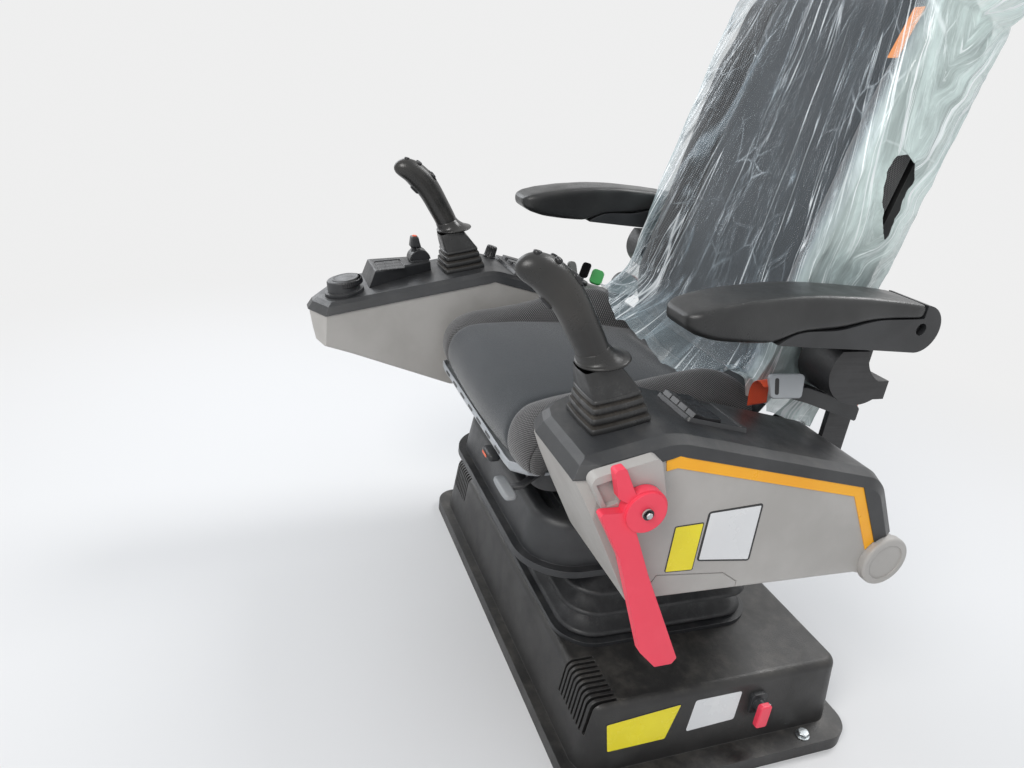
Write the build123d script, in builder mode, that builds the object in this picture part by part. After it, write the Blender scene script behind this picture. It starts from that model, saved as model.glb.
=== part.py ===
from build123d import *
from math import cos, radians, sin, tan
import os

# Operator's station of a crawler excavator: a suspended seat between two control
# consoles, standing on a moulded base. The operator faces -Y, +X is the operator's left
# and +Z is up. The origin is on the floor, in the middle of the four floor bolts.

os.makedirs("parts", exist_ok=True)

# Heights of the stack, from the floor up
flange_thick = 25.0
base_top = 150.0
tray_thick = 8.0
bellows_height = 127.0
housing_height = 87.0
rail_height = 14.0
slider_gap = 0.4
slider_proud = 7.0
carrier_thick = 10.0
pan_height = 50.0

bellows_bottom = base_top + tray_thick
housing_bottom = bellows_bottom + bellows_height
rail_bottom = housing_bottom + housing_height
carrier_bottom = rail_bottom + rail_height + slider_proud
seat_rail_bottom = carrier_bottom + carrier_thick
pan_bottom = seat_rail_bottom + rail_height + slider_proud
pan_top = pan_bottom + pan_height

# Base cover and its floor bolts
base_half_width = 403.0
base_half_length = 250.0
base_corner = 38.0
base_taper = 6.0
flange_margin = 38.0
bolt_inset = 20.0
bolt_half_x = base_half_width + flange_margin - bolt_inset
bolt_half_y = 170.0
bolt_hole_r = 6.5
flange_corner = 50.0
slot_count = 10
slot_pitch = 10.0
slot_width = 5.0
slot_first_x = 288.0
slot_depth = 12.0
slot_top_reach = 58.0
slot_front_drop = 62.0

# Isolator tap on the base's left side
isolator_y = 70.0
isolator_z = 102.0
isolator_r = 11.0
isolator_reach = 20.0
flag_width = 22.0
flag_height = 46.0
flag_thick = 10.0

# Suspension
bellows_half_width = 262.0
bellows_front = -226.0
bellows_rear = 142.0
bellows_corner = 60.0
bellows_folds = 3
fold_taper = 32.0
tray_margin = 8.0
housing_half_width = 236.0
housing_front = -292.0
housing_rear = 150.0
housing_corner = 78.0
housing_rim = 12.0
rim_margin = 15.0
pocket_width = 92.0
pocket_length = 24.0
pocket_depth = 16.0

# Slide rails, two pairs: station on suspension, seat on carrier
rail_x = 165.0
rail_width = 44.0
rail_front = -225.0
rail_rear = 135.0
slider_front = -190.0
slider_rear = 100.0
slot_inner = 32.0
slot_mouth = 20.0
rail_floor = 3.0
rail_lip = 3.5

# Carrier frame and the stub axles that carry both consoles
carrier_half_width = 195.0
carrier_front = -215.0
carrier_rear = 150.0
wing_front = 118.0
wing_rear = 228.0
axle_y = 157.0
axle_z = 421.0
axle_r = 15.0
axle_clearance = 0.3
axle_plate_x = 250.0
axle_plate_thick = 8.0
axle_plate_rise = 24.0
arm_y = -120.0
arm_width = 60.0

# Consoles
console_x = 357.0
cover_half = 95.0
shell_inset = 3.0
stick_x = 350.0
ridge_y = -234.0
ridge_z = 642.0
front_slope = 12.5
rear_slope = 13.0
ridge_r = 95.0
hip_r = 62.0
cover_depth = 20.0
tier_outer = 27.0
tier_inner = 18.0
tier_edge = 9.0
tier_drop = 6.0
shell_edge_r = 6.0
left_front = -366.0
right_front = -593.0
knee_y = 75.0
tail_y = 136.0
tail_z = 446.0
tail_width = 34.0
shell_toe = (-264.0, 408.0)
shell_heel = (126.0, 398.0)
right_toe = (-309.0, 398.0)
right_chin = (-517.0, 471.0)
# How far each point of a console's front stands from its inner side, and behind its tip
nose_left = ((0.0, 55.0), (8.0, 27.0), (27.0, 8.0), (55.0, 0.0), (178.0, 0.0), (190.0, 30.0))
nose_right = ((0.0, 27.0), (64.0, 0.0), (90.0, 0.0), (190.0, 69.0))
boss_r = 37.0
cap_r = 40.0
cap_thick = 12.0
cap_recess_r = 29.0
cap_recess = 2.0
panel_seam = 1.6
panel_front = -228.0
panel_rear = -96.0
panel_rise = 42.0

# Stripe and lever bracket on the left console
stripe_width = 16.0
stripe_thick = 1.5
hub_y = -289.0
hub_z = 571.0
hub_r = 29.0
hub_bolt_r = 5.0
hub_disc_r = 26.5
hub_disc = 4.0
hub_clearance = 0.3
bracket_thick = 17.0
bracket_outline = ((-73, 40), (17, 62), (35, 8), (20, -20), (-44, -8))
bracket_pocket = ((-62, 32), (-30, 41), (-30, 6), (-44, 2))
pocket_sink = 6.0
lever_thick = 13.0
lever_gap = 0.8
lever_beak = ((-50, 57), (-36, 60), (-20, 30), (0, 0), (-38, 20))
lever_shank = (
    (-60, 2), (0, 0), (-6, -28), (24, -94), (98, -240), (92, -249), (66, -249), (38, -219), (-20, -66)
)

# Sticks and boots
stick_y = -284.0
pivot_depth = 14.0
well_r = 23.0
well_depth = 30.0
boot_half = 41.0
boot_corner = 5.0
boot_folds = 3
boot_fold_height = 12.0
boot_fold_step = 3.0
boot_groove = 4.5
boot_top_half = 22.0
boot_wall = 4.0
stick_lean = 21.5
shaft_r = 9.0
flange_rise = 92.0
# The flare under the grip: height above the boot, radius, and shift towards the seat
thumb_flare = ((0.0, 35.0, 11.0), (3.0, 35.0, 11.0), (10.0, 27.0, 6.0), (20.0, 21.5, 0.0))
# The grip's bend: forward reach, rise, turn from upright and radius of each section
grip_bend = (
    (0.0, 0.0, 21.5, 20.5),
    (15.0, 23.5, 33.0, 20.5),
    (33.0, 50.5, 36.0, 21.5),
    (49.0, 70.5, 42.0, 22.5),
    (66.0, 85.5, 55.0, 22.5),
    (84.0, 95.5, 78.0, 20.0),
    (104.0, 96.0, 96.0, 13.0),
)
ring_outer_r = 19.0
ring_inner_r = 13.5
ring_thick = 13.0
trunnion_r = 4.0
trunnion_gap = 0.3
trunnion_reach = 28.0

# Seat
cushion_half = 243.0
cushion_centre_half = 165.0
cushion_front = -345.0
cushion_rear = 52.0
cushion_top = 566.0
bolster_peak_y = -35.0
bolster_peak_z = 632.0
bolster_edge_r = 18.0
pan_half = 205.0
pan_front = -296.0
pan_rear = 126.0

# Backrest
back_angle = 13.0
back_foot_y = 69.0
back_foot_z = 584.0
back_half = 240.0
back_centre_half = 168.0
back_height = 640.0
back_thick = 62.0
back_bolster = 36.0
back_bolster_start = 34.0
back_shell_thick = 26.0
hinge_y = 112.0
hinge_z = 508.0
hinge_r = 28.0
hinge_plate = 7.0
hinge_pin_r = 9.0
hinge_clearance = 0.3
recliner_x = 212.0
head_half = 128.0
head_height = 170.0
head_gap = 16.0
head_post_r = 7.0
film_gap = 3.0
film_thick = 2.0
film_pleats = 4
film_pleat = 9.0
film_corner = 6.0
film_side = back_half + film_gap
film_front = back_bolster + film_gap
film_rear = back_thick + back_shell_thick + film_gap
head_side = head_half + 2 * film_gap
head_rear = back_thick + 6.0 + film_gap
head_top = back_height + head_gap + head_height
# The bag up the back, hung on the headrest's top: height, reach to the left and to the
# right, front and rear
film_stations = (
    (back_bolster_start, film_side, film_side, film_front, film_rear),
    (226.0, film_side, film_side, film_front, film_rear),
    (290.0, film_side + 19.0, film_side + 4.0, film_front, film_rear),
    (back_height - 42.0, film_side + 19.0, film_side, film_front, film_rear),
    (back_height - 18.0, film_side + 75.0, film_side - 14.0, film_front - 11.0, film_rear),
    (back_height + 2.0, film_side + 45.0, film_side - 38.0, film_front - 21.0, film_rear),
    (head_top - 136.0, head_side + 62.0, head_side + 21.0, 13.0, head_rear + 8.0),
    (head_top - 76.0, head_side + 20.0, head_side + 5.0, 11.0, head_rear + 3.0),
    (head_top, head_side, head_side, 8.0, head_rear),
)

# Armrests
armrest_centre = 310.0
armrest_half = 41.0
armrest_length = 430.0
armrest_pivot_y = 205.0
armrest_pivot_z = 742.0
armrest_end_r = 36.0
armrest_nose_r = 26.0
armrest_edge_r = 12.0
armrest_bolt_r = 9.0
armrest_seam = ((0, 16), (-45, 15), (-86, 13), (-152, -1), (-219, -6), (-247, -22))
armrest_clearance = 0.3
armrest_crown = 46.0
armrest_belly = 36.0
right_armrest_lift = 30.0
post_thick = 9.0
post_width = 50.0
rest_gap = 5.0
rest_width = 36.0
rest_depth = 50.0
rest_foot_z = 622.0

# Controls on the right console
dial_x = 326.0
dial_y = -523.0
dial_r = 32.0
dial_height = 28.0
dial_collar = 6.5
keypad_front = -476.0
keypad_rear = -344.0
keypad_near = 320.0
keypad_width = 98.0
keypad_tail_near = 357.0
keypad_tail_width = 47.0
keypad_height = 32.0
keypad_rise = 7.2
keypad_edge_r = 4.0
keypad_pad = (66.0, 54.0)
keypad_pad_y = -430.0
throttle_y = -366.0
throttle_plate = 2.5
bank_x = 340.0
bank_y = -134.0
bank_size = (86.0, 104.0)
row_y = -150.0
row_size = (150.0, 74.0)
switch_proud = 6.0
rocker_count = 4
knob_r = 22.0
knob_width = 34.0
knob_sunk = 2.0
paddle_width = 15.0
paddle_thick = 9.0
paddle_rise = 24.0

# Belt fittings beside the seat
buckle_x = 266.0
buckle_width = 27.0
buckle_front = 60.0
buckle_rear = 200.0
buckle_front_z = 627.0
buckle_rear_z = 594.0
buckle_thick = 16.0
retractor_r = 26.0
retractor_length = 58.0


def save(part, name):
    """Labels a finished piece and writes it as one file."""
    part.label = name
    export_step(part, f"parts/{name}.step")


def span(front, rear):
    """Middle and length of a stretch along Y."""
    return (front + rear) / 2, rear - front


def deck_z(y):
    """Height of a console's top at y: a roof that falls both ways from its ridge."""
    slope = front_slope if y < ridge_y else rear_slope
    return ridge_z - abs(y - ridge_y) * tan(radians(slope))


def tier_plane(side, start, finish, inset, drop, fall):
    """Slanting cut along one edge of a console's front: it passes drop below the deck at
    inset from the edge, and falls away outwards from there."""
    edge = finish - start
    outward = Vector(side * edge.Y, -side * edge.X, 0).normalized()
    if outward.Y > 0:
        outward = -outward
    point = start - outward * inset
    rise = tan(radians(front_slope))
    height = ridge_z + (point.Y - ridge_y) * rise - drop
    return Plane(
        origin=(point.X, point.Y, height),
        x_dir=(1, 0, -fall * outward.X),
        z_dir=(fall * outward.X, fall * outward.Y - rise, 1),
    )


def shifted(points, y, z):
    """Outline points moved to a reference point."""
    return [(point[0] + y, point[1] + z) for point in points]


# Base cover: one tapered moulding with a bolting flange and louvred front corners
with BuildPart() as base_cover:
    with BuildSketch(Plane.XY):
        RectangleRounded(
            2 * (base_half_width + flange_margin),
            2 * (base_half_length + flange_margin / 2),
            flange_corner,
        )
    extrude(amount=flange_thick)
    with BuildSketch(Plane.XY.offset(flange_thick)):
        RectangleRounded(2 * base_half_width, 2 * base_half_length, base_corner)
    extrude(amount=base_top - flange_thick, taper=base_taper)
    fillet(base_cover.faces().sort_by(Axis.Z)[-1].edges(), radius=14)
    with GridLocations(2 * bolt_half_x, 2 * bolt_half_y, 2, 2):
        Cylinder(
            bolt_hole_r,
            flange_thick,
            align=(Align.CENTER, Align.CENTER, Align.MIN),
            mode=Mode.SUBTRACT,
        )
    # Louvres run over the top front edge at both ends of the cover
    for i in range(slot_count):
        for side in (1, -1):
            slot_x = side * (slot_first_x + i * slot_pitch) - slot_width / 2
            with BuildSketch(Plane.YZ.offset(slot_x)):
                front = -base_half_length
                Polygon(
                    (front - 5, base_top + 5),
                    (front + slot_top_reach, base_top + 5),
                    (front + slot_top_reach, base_top - slot_depth),
                    (front + slot_depth + 22, base_top - slot_depth),
                    (front + slot_depth + 8, base_top - slot_front_drop),
                    (front - 5, base_top - slot_front_drop),
                    align=None,
                )
            extrude(amount=slot_width, mode=Mode.SUBTRACT)
save(base_cover.part, "base_cover")

# Isolator tap: black spindle mount and red flag handle on the cover's left side
taper_run = (isolator_z - flange_thick) * tan(radians(base_taper))
isolator_x = base_half_width - taper_run - 3
with BuildPart() as isolator_mount:
    with BuildSketch(Plane.YZ.offset(isolator_x)):
        with Locations((isolator_y, isolator_z)):
            Circle(isolator_r)
    extrude(amount=isolator_reach)
    with BuildSketch(Plane.YZ.offset(isolator_x)):
        with Locations((isolator_y, isolator_z)):
            RectangleRounded(30, 38, 6)
    extrude(amount=9)
    # The mount's foot follows the tapered wall
    with BuildSketch(Plane.XZ.offset(-isolator_y - 30)):
        Polygon(
            (base_half_width, flange_thick),
            (base_half_width - (base_top - flange_thick) * tan(radians(base_taper)), base_top),
            (0, base_top),
            (0, flange_thick),
            align=None,
        )
    extrude(amount=60, mode=Mode.SUBTRACT)
save(isolator_mount.part, "isolator_mount")
with BuildPart() as isolator_flag:
    with BuildSketch(Plane.YZ.offset(isolator_x + isolator_reach)):
        with Locations((isolator_y, isolator_z - flag_height / 2 + 12)):
            RectangleRounded(flag_width, flag_height, 5)
    extrude(amount=flag_thick)
    fillet(isolator_flag.faces().sort_by(Axis.X)[-1].edges(), radius=3)
save(isolator_flag.part, "isolator_flag")

# Suspension: tray, bellows of outward folds, and the moulded housing above
bellows_mid, bellows_length = span(bellows_front, bellows_rear)
with BuildPart() as suspension_tray:
    with BuildSketch(Plane.XY.offset(base_top)):
        with Locations((0, bellows_mid)):
            RectangleRounded(
                2 * (bellows_half_width + tray_margin),
                bellows_length + 2 * tray_margin,
                bellows_corner + tray_margin,
            )
    extrude(amount=tray_thick)
save(suspension_tray.part, "suspension_tray")

fold_height = bellows_height / bellows_folds
with BuildPart() as suspension_bellows:
    for i in range(bellows_folds):
        fold_bottom = bellows_bottom + i * fold_height
        for height, length, taper in (
            (fold_bottom, fold_height * 0.4, 0),
            (fold_bottom + fold_height * 0.4, fold_height * 0.6, fold_taper),
        ):
            with BuildSketch(Plane.XY.offset(height)):
                with Locations((0, bellows_mid)):
                    RectangleRounded(
                        2 * bellows_half_width, bellows_length, bellows_corner
                    )
            extrude(amount=length, taper=taper)
save(suspension_bellows.part, "suspension_bellows")

housing_mid, housing_length = span(housing_front, housing_rear)
with BuildPart() as suspension_housing:
    with BuildSketch(Plane.XY.offset(housing_bottom)):
        with Locations((0, housing_mid)):
            RectangleRounded(
                2 * (housing_half_width + rim_margin),
                housing_length + 2 * rim_margin,
                housing_corner + rim_margin,
            )
    extrude(amount=housing_rim)
    with BuildSketch(Plane.XY.offset(housing_bottom + housing_rim)):
        with Locations((0, housing_mid)):
            RectangleRounded(2 * housing_half_width, housing_length, housing_corner)
    extrude(amount=housing_height - housing_rim, taper=8)
    fillet(suspension_housing.faces().sort_by(Axis.Z)[-1].edges(), radius=16)
    # Two shallow pockets in the front shoulder, ahead of the rails
    with BuildSketch(Plane.XY.offset(rail_bottom)):
        with Locations((130, rail_front - 20), (-130, rail_front - 20)):
            RectangleRounded(pocket_width, pocket_length, 9)
    extrude(amount=-pocket_depth, mode=Mode.SUBTRACT)
save(suspension_housing.part, "suspension_housing")

# Rails and sliders: C-sections open at the top, and T-sections that run in them
rail_mid, rail_length = span(rail_front, rail_rear)
slider_mid, slider_length = span(slider_front, slider_rear)
for level, name in ((rail_bottom, "station"), (seat_rail_bottom, "seat")):
    with BuildPart() as rails:
        for side in (1, -1):
            with BuildSketch(Plane.XZ.offset(-rail_rear)):
                with Locations((side * rail_x, level + rail_height / 2)):
                    Rectangle(rail_width, rail_height)
                with Locations(
                    (side * rail_x, level + (rail_floor + rail_height - rail_lip) / 2)
                ):
                    Rectangle(
                        slot_inner,
                        rail_height - rail_lip - rail_floor,
                        mode=Mode.SUBTRACT,
                    )
                with Locations((side * rail_x, level + rail_height - rail_lip / 2)):
                    Rectangle(slot_mouth, rail_lip, mode=Mode.SUBTRACT)
            extrude(amount=rail_length)
    save(rails.part, f"{name}_rails")
    head_low = level + rail_floor + slider_gap
    head_high = level + rail_height - rail_lip - slider_gap
    stem_high = level + rail_height + slider_proud
    with BuildPart() as sliders:
        for side in (1, -1):
            with BuildSketch(Plane.XZ.offset(-slider_rear)):
                with Locations((side * rail_x, (head_low + head_high) / 2)):
                    Rectangle(slot_inner - 2 * slider_gap, head_high - head_low)
                with Locations((side * rail_x, (head_low + stem_high) / 2)):
                    Rectangle(slot_mouth - 2 * slider_gap, stem_high - head_low)
            extrude(amount=slider_length)
    save(sliders.part, f"{name}_sliders")

# Carrier: plate with wings, upright axle plates, stub axles and the right-hand arm
carrier_mid, carrier_length = span(carrier_front, carrier_rear)
wing_mid, wing_length = span(wing_front, wing_rear)
plate_out = axle_plate_x + axle_plate_thick
axle_plate_top = axle_z + axle_plate_rise
axle_end = console_x + cover_half - shell_inset - 8
inner_x = console_x - cover_half
with BuildPart() as carrier_frame:
    with BuildSketch(Plane.XY.offset(carrier_bottom)):
        with Locations((0, carrier_mid)):
            RectangleRounded(2 * carrier_half_width, carrier_length, 20)
        with Locations((0, wing_mid)):
            Rectangle(2 * plate_out, wing_length)
    extrude(amount=carrier_thick)
    for side in (1, -1):
        with BuildSketch(Plane.YZ.offset(side * plate_out)):
            with Locations((wing_mid, (carrier_bottom + axle_plate_top) / 2)):
                Rectangle(wing_length, axle_plate_top - carrier_bottom)
        extrude(amount=-side * axle_plate_thick)
        with BuildSketch(Plane.YZ.offset(side * plate_out)):
            with Locations((axle_y, axle_z)):
                Circle(axle_r)
        extrude(amount=side * (axle_end - plate_out))
    # Arm and upright that hold the right console's front
    with BuildSketch(Plane.XY.offset(carrier_bottom)):
        with Locations((-(carrier_half_width + inner_x) / 2, arm_y)):
            Rectangle(inner_x - carrier_half_width + 20, arm_width)
    extrude(amount=carrier_thick)
save(carrier_frame.part, "carrier_frame")

# Consoles. Both have the same roof-shaped cover, the right one is drawn out forwards
hands = {1: "left", -1: "right"}
fronts = {1: left_front, -1: right_front}
noses = {1: nose_left, -1: nose_right}
toes = {
    1: (shell_toe,),
    -1: ((right_front + 14, right_chin[1] + 19), right_chin, right_toe),
}
outer_x = console_x + cover_half
shell_half = cover_half - shell_inset
lean = radians(stick_lean)
for side, hand in hands.items():
    front = fronts[side]
    start = side * console_x
    seam = (
        (tail_y, tail_z),
        (knee_y, deck_z(knee_y) - cover_depth),
        (ridge_y, ridge_z - cover_depth),
        (front + 3, deck_z(front + 3) - cover_depth),
    )
    deck = Plane(
        origin=(side * stick_x, stick_y, deck_z(stick_y)),
        x_dir=(1, 0, 0),
        z_dir=(0, -sin(radians(front_slope)), cos(radians(front_slope))),
    )
    pivot = deck.offset(-pivot_depth).origin
    # Seen from above: the front's points, then both sides back to the tail
    nose = [
        Vector(side * (console_x - cover_half + point[0]), front + point[1])
        for point in noses[side]
    ]
    tail_end = tail_y + tail_width + cap_r
    plan = [(v.X, v.Y) for v in nose] + [(side * outer_x, tail_end), (side * inner_x, tail_end)]
    with BuildPart() as cover:
        # Its crown line rises over the ridge, falls to the hip and turns down the tail
        hip = (knee_y + 44, deck_z(knee_y + 44))
        with BuildLine(Plane.YZ.offset(start)) as crown:
            FilletPolyline(
                (front - 30, deck_z(front - 30)),
                (ridge_y, ridge_z),
                hip,
                (2 * (tail_y + tail_width) - hip[0], 2 * (tail_z + 22) - hip[1]),
                radius=[ridge_r, hip_r],
            )
        # Tiered section: flat deck, shallow upper tier, steep lower tier
        outer_way, inner_way = side * cover_half, -side * cover_half
        with BuildSketch(
            Plane(origin=crown.line @ 0, x_dir=(-1, 0, 0), z_dir=crown.line % 0)
        ):
            Polygon(
                (-inner_way + side * -tier_inner, 0),
                (-outer_way + side * tier_outer, 0),
                (-outer_way + side * tier_edge, -tier_drop),
                (-outer_way, -cover_depth),
                (-outer_way, -cover_depth - 32),
                (-inner_way, -cover_depth - 32),
                (-inner_way, -cover_depth),
                (-inner_way - side * tier_edge, -tier_drop),
                align=None,
            )
        sweep()
        with BuildSketch(Plane.YZ.offset(start - cover_half)):
            Polygon(
                (front - 40, ridge_z + 40),
                (front - 40, seam[-1][1] - 9),
                *reversed(seam),
                (tail_y + tail_width - 14, tail_z),
                (tail_y + tail_width, tail_z + 22),
                (tail_y + tail_width, ridge_z + 40),
                align=None,
            )
        extrude(amount=2 * cover_half, mode=Mode.INTERSECT)
        with BuildSketch(Plane.XY):
            Polygon(*plan, align=None)
        extrude(amount=2 * ridge_z, mode=Mode.INTERSECT)
        # Both tiers go on round the front
        for corner, next_corner in zip(nose, nose[1:]):
            for inset, drop, fall in (
                (tier_inner, 0, tier_drop / (tier_inner - tier_edge)),
                (tier_edge, tier_drop, (cover_depth - tier_drop) / tier_edge),
            ):
                cut = tier_plane(side, corner, next_corner, inset, drop, fall)
                split(bisect_by=cut, keep=Keep.BOTTOM)
        with BuildSketch(Plane.YZ.offset(start - cover_half)):
            with Locations((axle_y, axle_z)):
                Circle(cap_r + panel_seam)
        extrude(amount=2 * cover_half, mode=Mode.SUBTRACT)
        # Round well for the stick's gimbal, with two trunnion holes
        with BuildSketch(deck.offset(4)):
            Circle(well_r)
        extrude(amount=-well_depth - 4, mode=Mode.SUBTRACT)
        with BuildSketch(Plane.YZ.offset(side * stick_x - trunnion_reach)):
            with Locations((pivot.Y, pivot.Z)):
                Circle(trunnion_r + trunnion_gap)
        extrude(amount=2 * trunnion_reach, mode=Mode.SUBTRACT)
    save(cover.part, f"{hand}_console_cover")
    with BuildPart() as shell:
        with BuildSketch(Plane.YZ.offset(start - shell_half)):
            with BuildLine():
                Polyline(
                    (axle_y + boss_r, axle_z),
                    (tail_y + tail_width - 17, tail_z),
                    *seam,
                    *toes[side],
                    shell_heel,
                    (axle_y + 10, axle_z - boss_r + 2),
                    (axle_y + boss_r, axle_z),
                )
            make_face()
            with Locations((axle_y, axle_z)):
                Circle(boss_r)
        extrude(amount=2 * shell_half)
        # Seen from above it follows the cover, a little inside, and the stick's well goes
        # down into it
        with BuildSketch(Plane.XY):
            Polygon(*plan, align=None)
            offset(amount=-shell_inset, mode=Mode.REPLACE)
        extrude(amount=2 * ridge_z, mode=Mode.INTERSECT)
        with BuildSketch(deck):
            Circle(well_r)
        extrude(amount=-well_depth, mode=Mode.SUBTRACT)
        foot = shell.edges().filter_by(
            lambda edge: abs(abs(edge.center().X) - console_x) > shell_half - 0.1
            and edge.center().Z < tail_z + 60
            and edge.center().Y < axle_y - boss_r - 5
            and abs(edge.tangent_at(0.5).Z) < 0.5
        )
        fillet(foot, radius=shell_edge_r)
        with BuildSketch(Plane.YZ.offset(start - shell_half)):
            with Locations((axle_y, axle_z)):
                Circle(axle_r + axle_clearance)
        extrude(amount=2 * shell_half, mode=Mode.SUBTRACT)
        if side > 0:
            # Seam of the access panel in the outer face
            with BuildSketch(Plane.YZ.offset(start + shell_half)):
                with BuildLine():
                    Polyline(
                        (panel_front - 20, shell_toe[1] - 4),
                        (panel_front, shell_toe[1] + panel_rise - 5),
                        (panel_rear - 26, shell_toe[1] + panel_rise - 16),
                        (panel_rear, shell_toe[1] + panel_rise - 34),
                        (panel_rear, shell_toe[1] - 6),
                    )
                trace(line_width=panel_seam)
            extrude(amount=-panel_seam, mode=Mode.SUBTRACT)
        else:
            # Slot that takes the carrier's arm
            with BuildSketch(Plane.XY.offset(carrier_bottom)):
                with Locations((side * (inner_x + 2), arm_y)):
                    Rectangle(24, arm_width)
            extrude(amount=carrier_thick, mode=Mode.SUBTRACT)
    save(shell.part, f"{hand}_console_shell")
    face_x = side * (outer_x - shell_inset)
    with BuildPart() as cap:
        with BuildSketch(Plane.YZ.offset(face_x)):
            with Locations((axle_y, axle_z)):
                Circle(cap_r)
        extrude(amount=side * cap_thick)
        rim = cap.edges().filter_by(GeomType.CIRCLE).sort_by(Axis.X)[-1 if side > 0 else 0]
        fillet(rim, radius=4)
        with BuildSketch(Plane.YZ.offset(face_x + side * cap_thick)):
            with Locations((axle_y, axle_z)):
                Circle(cap_recess_r)
        extrude(amount=-side * cap_recess, mode=Mode.SUBTRACT)
        with BuildSketch(Plane.YZ.offset(face_x)):
            with Locations((axle_y, axle_z)):
                Circle(axle_r + axle_clearance)
        extrude(amount=side * 4, mode=Mode.SUBTRACT)
    save(cap.part, f"{hand}_pivot_cap")
    # Gimbal ring: turns on two pins along X in the cover's well
    cross = Plane(
        origin=(side * stick_x, pivot.Y, pivot.Z), x_dir=(1, 0, 0), z_dir=deck.y_dir
    )
    with BuildPart() as gimbal:
        with BuildSketch(deck.offset(-pivot_depth - ring_thick / 2)):
            Circle(ring_outer_r)
            Circle(ring_inner_r, mode=Mode.SUBTRACT)
        extrude(amount=ring_thick)
        for way in (1, -1):
            with BuildSketch(Plane.YZ.offset(side * stick_x + way * (ring_outer_r - 3))):
                with Locations((pivot.Y, pivot.Z)):
                    Circle(trunnion_r)
            extrude(amount=way * (trunnion_reach - ring_outer_r + 2))
        with BuildSketch(cross.offset(-ring_outer_r - 1)):
            Circle(trunnion_r + trunnion_gap)
        extrude(amount=2 * ring_outer_r + 2, mode=Mode.SUBTRACT)
    save(gimbal.part, f"{hand}_gimbal")
    # Boot: square ribs on the deck and a square-shouldered cone that closes on the stick
    with BuildPart() as skirt:
        for i in range(boot_folds):
            half = boot_half - i * boot_fold_step
            with BuildSketch(deck.offset(i * boot_fold_height)):
                RectangleRounded(2 * half, 2 * half, boot_corner)
            extrude(amount=boot_fold_height * 0.6)
            with BuildSketch(deck.offset((i + 0.6) * boot_fold_height)):
                RectangleRounded(2 * (half - boot_groove), 2 * (half - boot_groove), boot_corner - 3)
            extrude(amount=boot_fold_height * 0.4)
        with BuildSketch(deck):
            Circle(well_r)
        extrude(amount=boot_folds * boot_fold_height, mode=Mode.SUBTRACT)
    save(skirt.part, f"{hand}_boot_skirt")
    stick_axis = Plane(
        origin=(side * stick_x, pivot.Y, pivot.Z),
        x_dir=(1, 0, 0),
        z_dir=(0, -sin(lean), cos(lean)),
    )
    cone_top = flange_rise
    cone_half = boot_half - boot_folds * boot_fold_step
    with BuildPart() as cone:
        with BuildSketch(deck.offset(boot_folds * boot_fold_height)):
            RectangleRounded(2 * cone_half, 2 * cone_half, boot_corner)
        with BuildSketch(stick_axis.offset(cone_top)):
            RectangleRounded(2 * boot_top_half, 2 * boot_top_half, boot_corner + 2)
        loft()
        with BuildSketch(deck.offset(boot_folds * boot_fold_height - 1)):
            Circle(cone_half - boot_wall)
        with BuildSketch(stick_axis.offset(cone_top - boot_wall)):
            Circle(boot_top_half - boot_wall)
        loft(mode=Mode.SUBTRACT)
        with BuildSketch(stick_axis.offset(cone_top - 2 * boot_wall)):
            Circle(shaft_r)
        extrude(amount=3 * boot_wall, mode=Mode.SUBTRACT)
    save(cone.part, f"{hand}_boot_cone")
    # Stick: pins along the deck, shaft and thumb flange
    with BuildPart() as stick:
        with BuildSketch(cross.offset(-ring_outer_r + 0.5)):
            Circle(trunnion_r)
        extrude(amount=2 * ring_outer_r - 1)
        with BuildSketch(stick_axis.offset(-6)):
            Circle(shaft_r)
        extrude(amount=flange_rise + 6)
        # Thin-rimmed flare, drawn out towards the seat
        for below, above in zip(thumb_flare, thumb_flare[1:]):
            for height, radius, shift in (below, above):
                with BuildSketch(stick_axis.offset(flange_rise + height)):
                    with Locations((0, shift)):
                        Circle(radius)
            loft()
    save(stick.part, f"{hand}_stick_shaft")
    # Grip: a bent, swelling loft that nods forward into its head
    seat_point = stick_axis.offset(flange_rise + thumb_flare[-1][0]).origin
    with BuildPart() as grip:
        for reach, rise, turn, width in grip_bend:
            turn = radians(turn)
            section = Plane(
                origin=(seat_point.X, seat_point.Y - reach, seat_point.Z + rise),
                x_dir=(1, 0, 0),
                z_dir=(0, -sin(turn), cos(turn)),
            )
            with BuildSketch(section):
                Ellipse(width * 0.95, width * 1.05)
        loft()
    save(grip.part, f"{hand}_grip")
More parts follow.
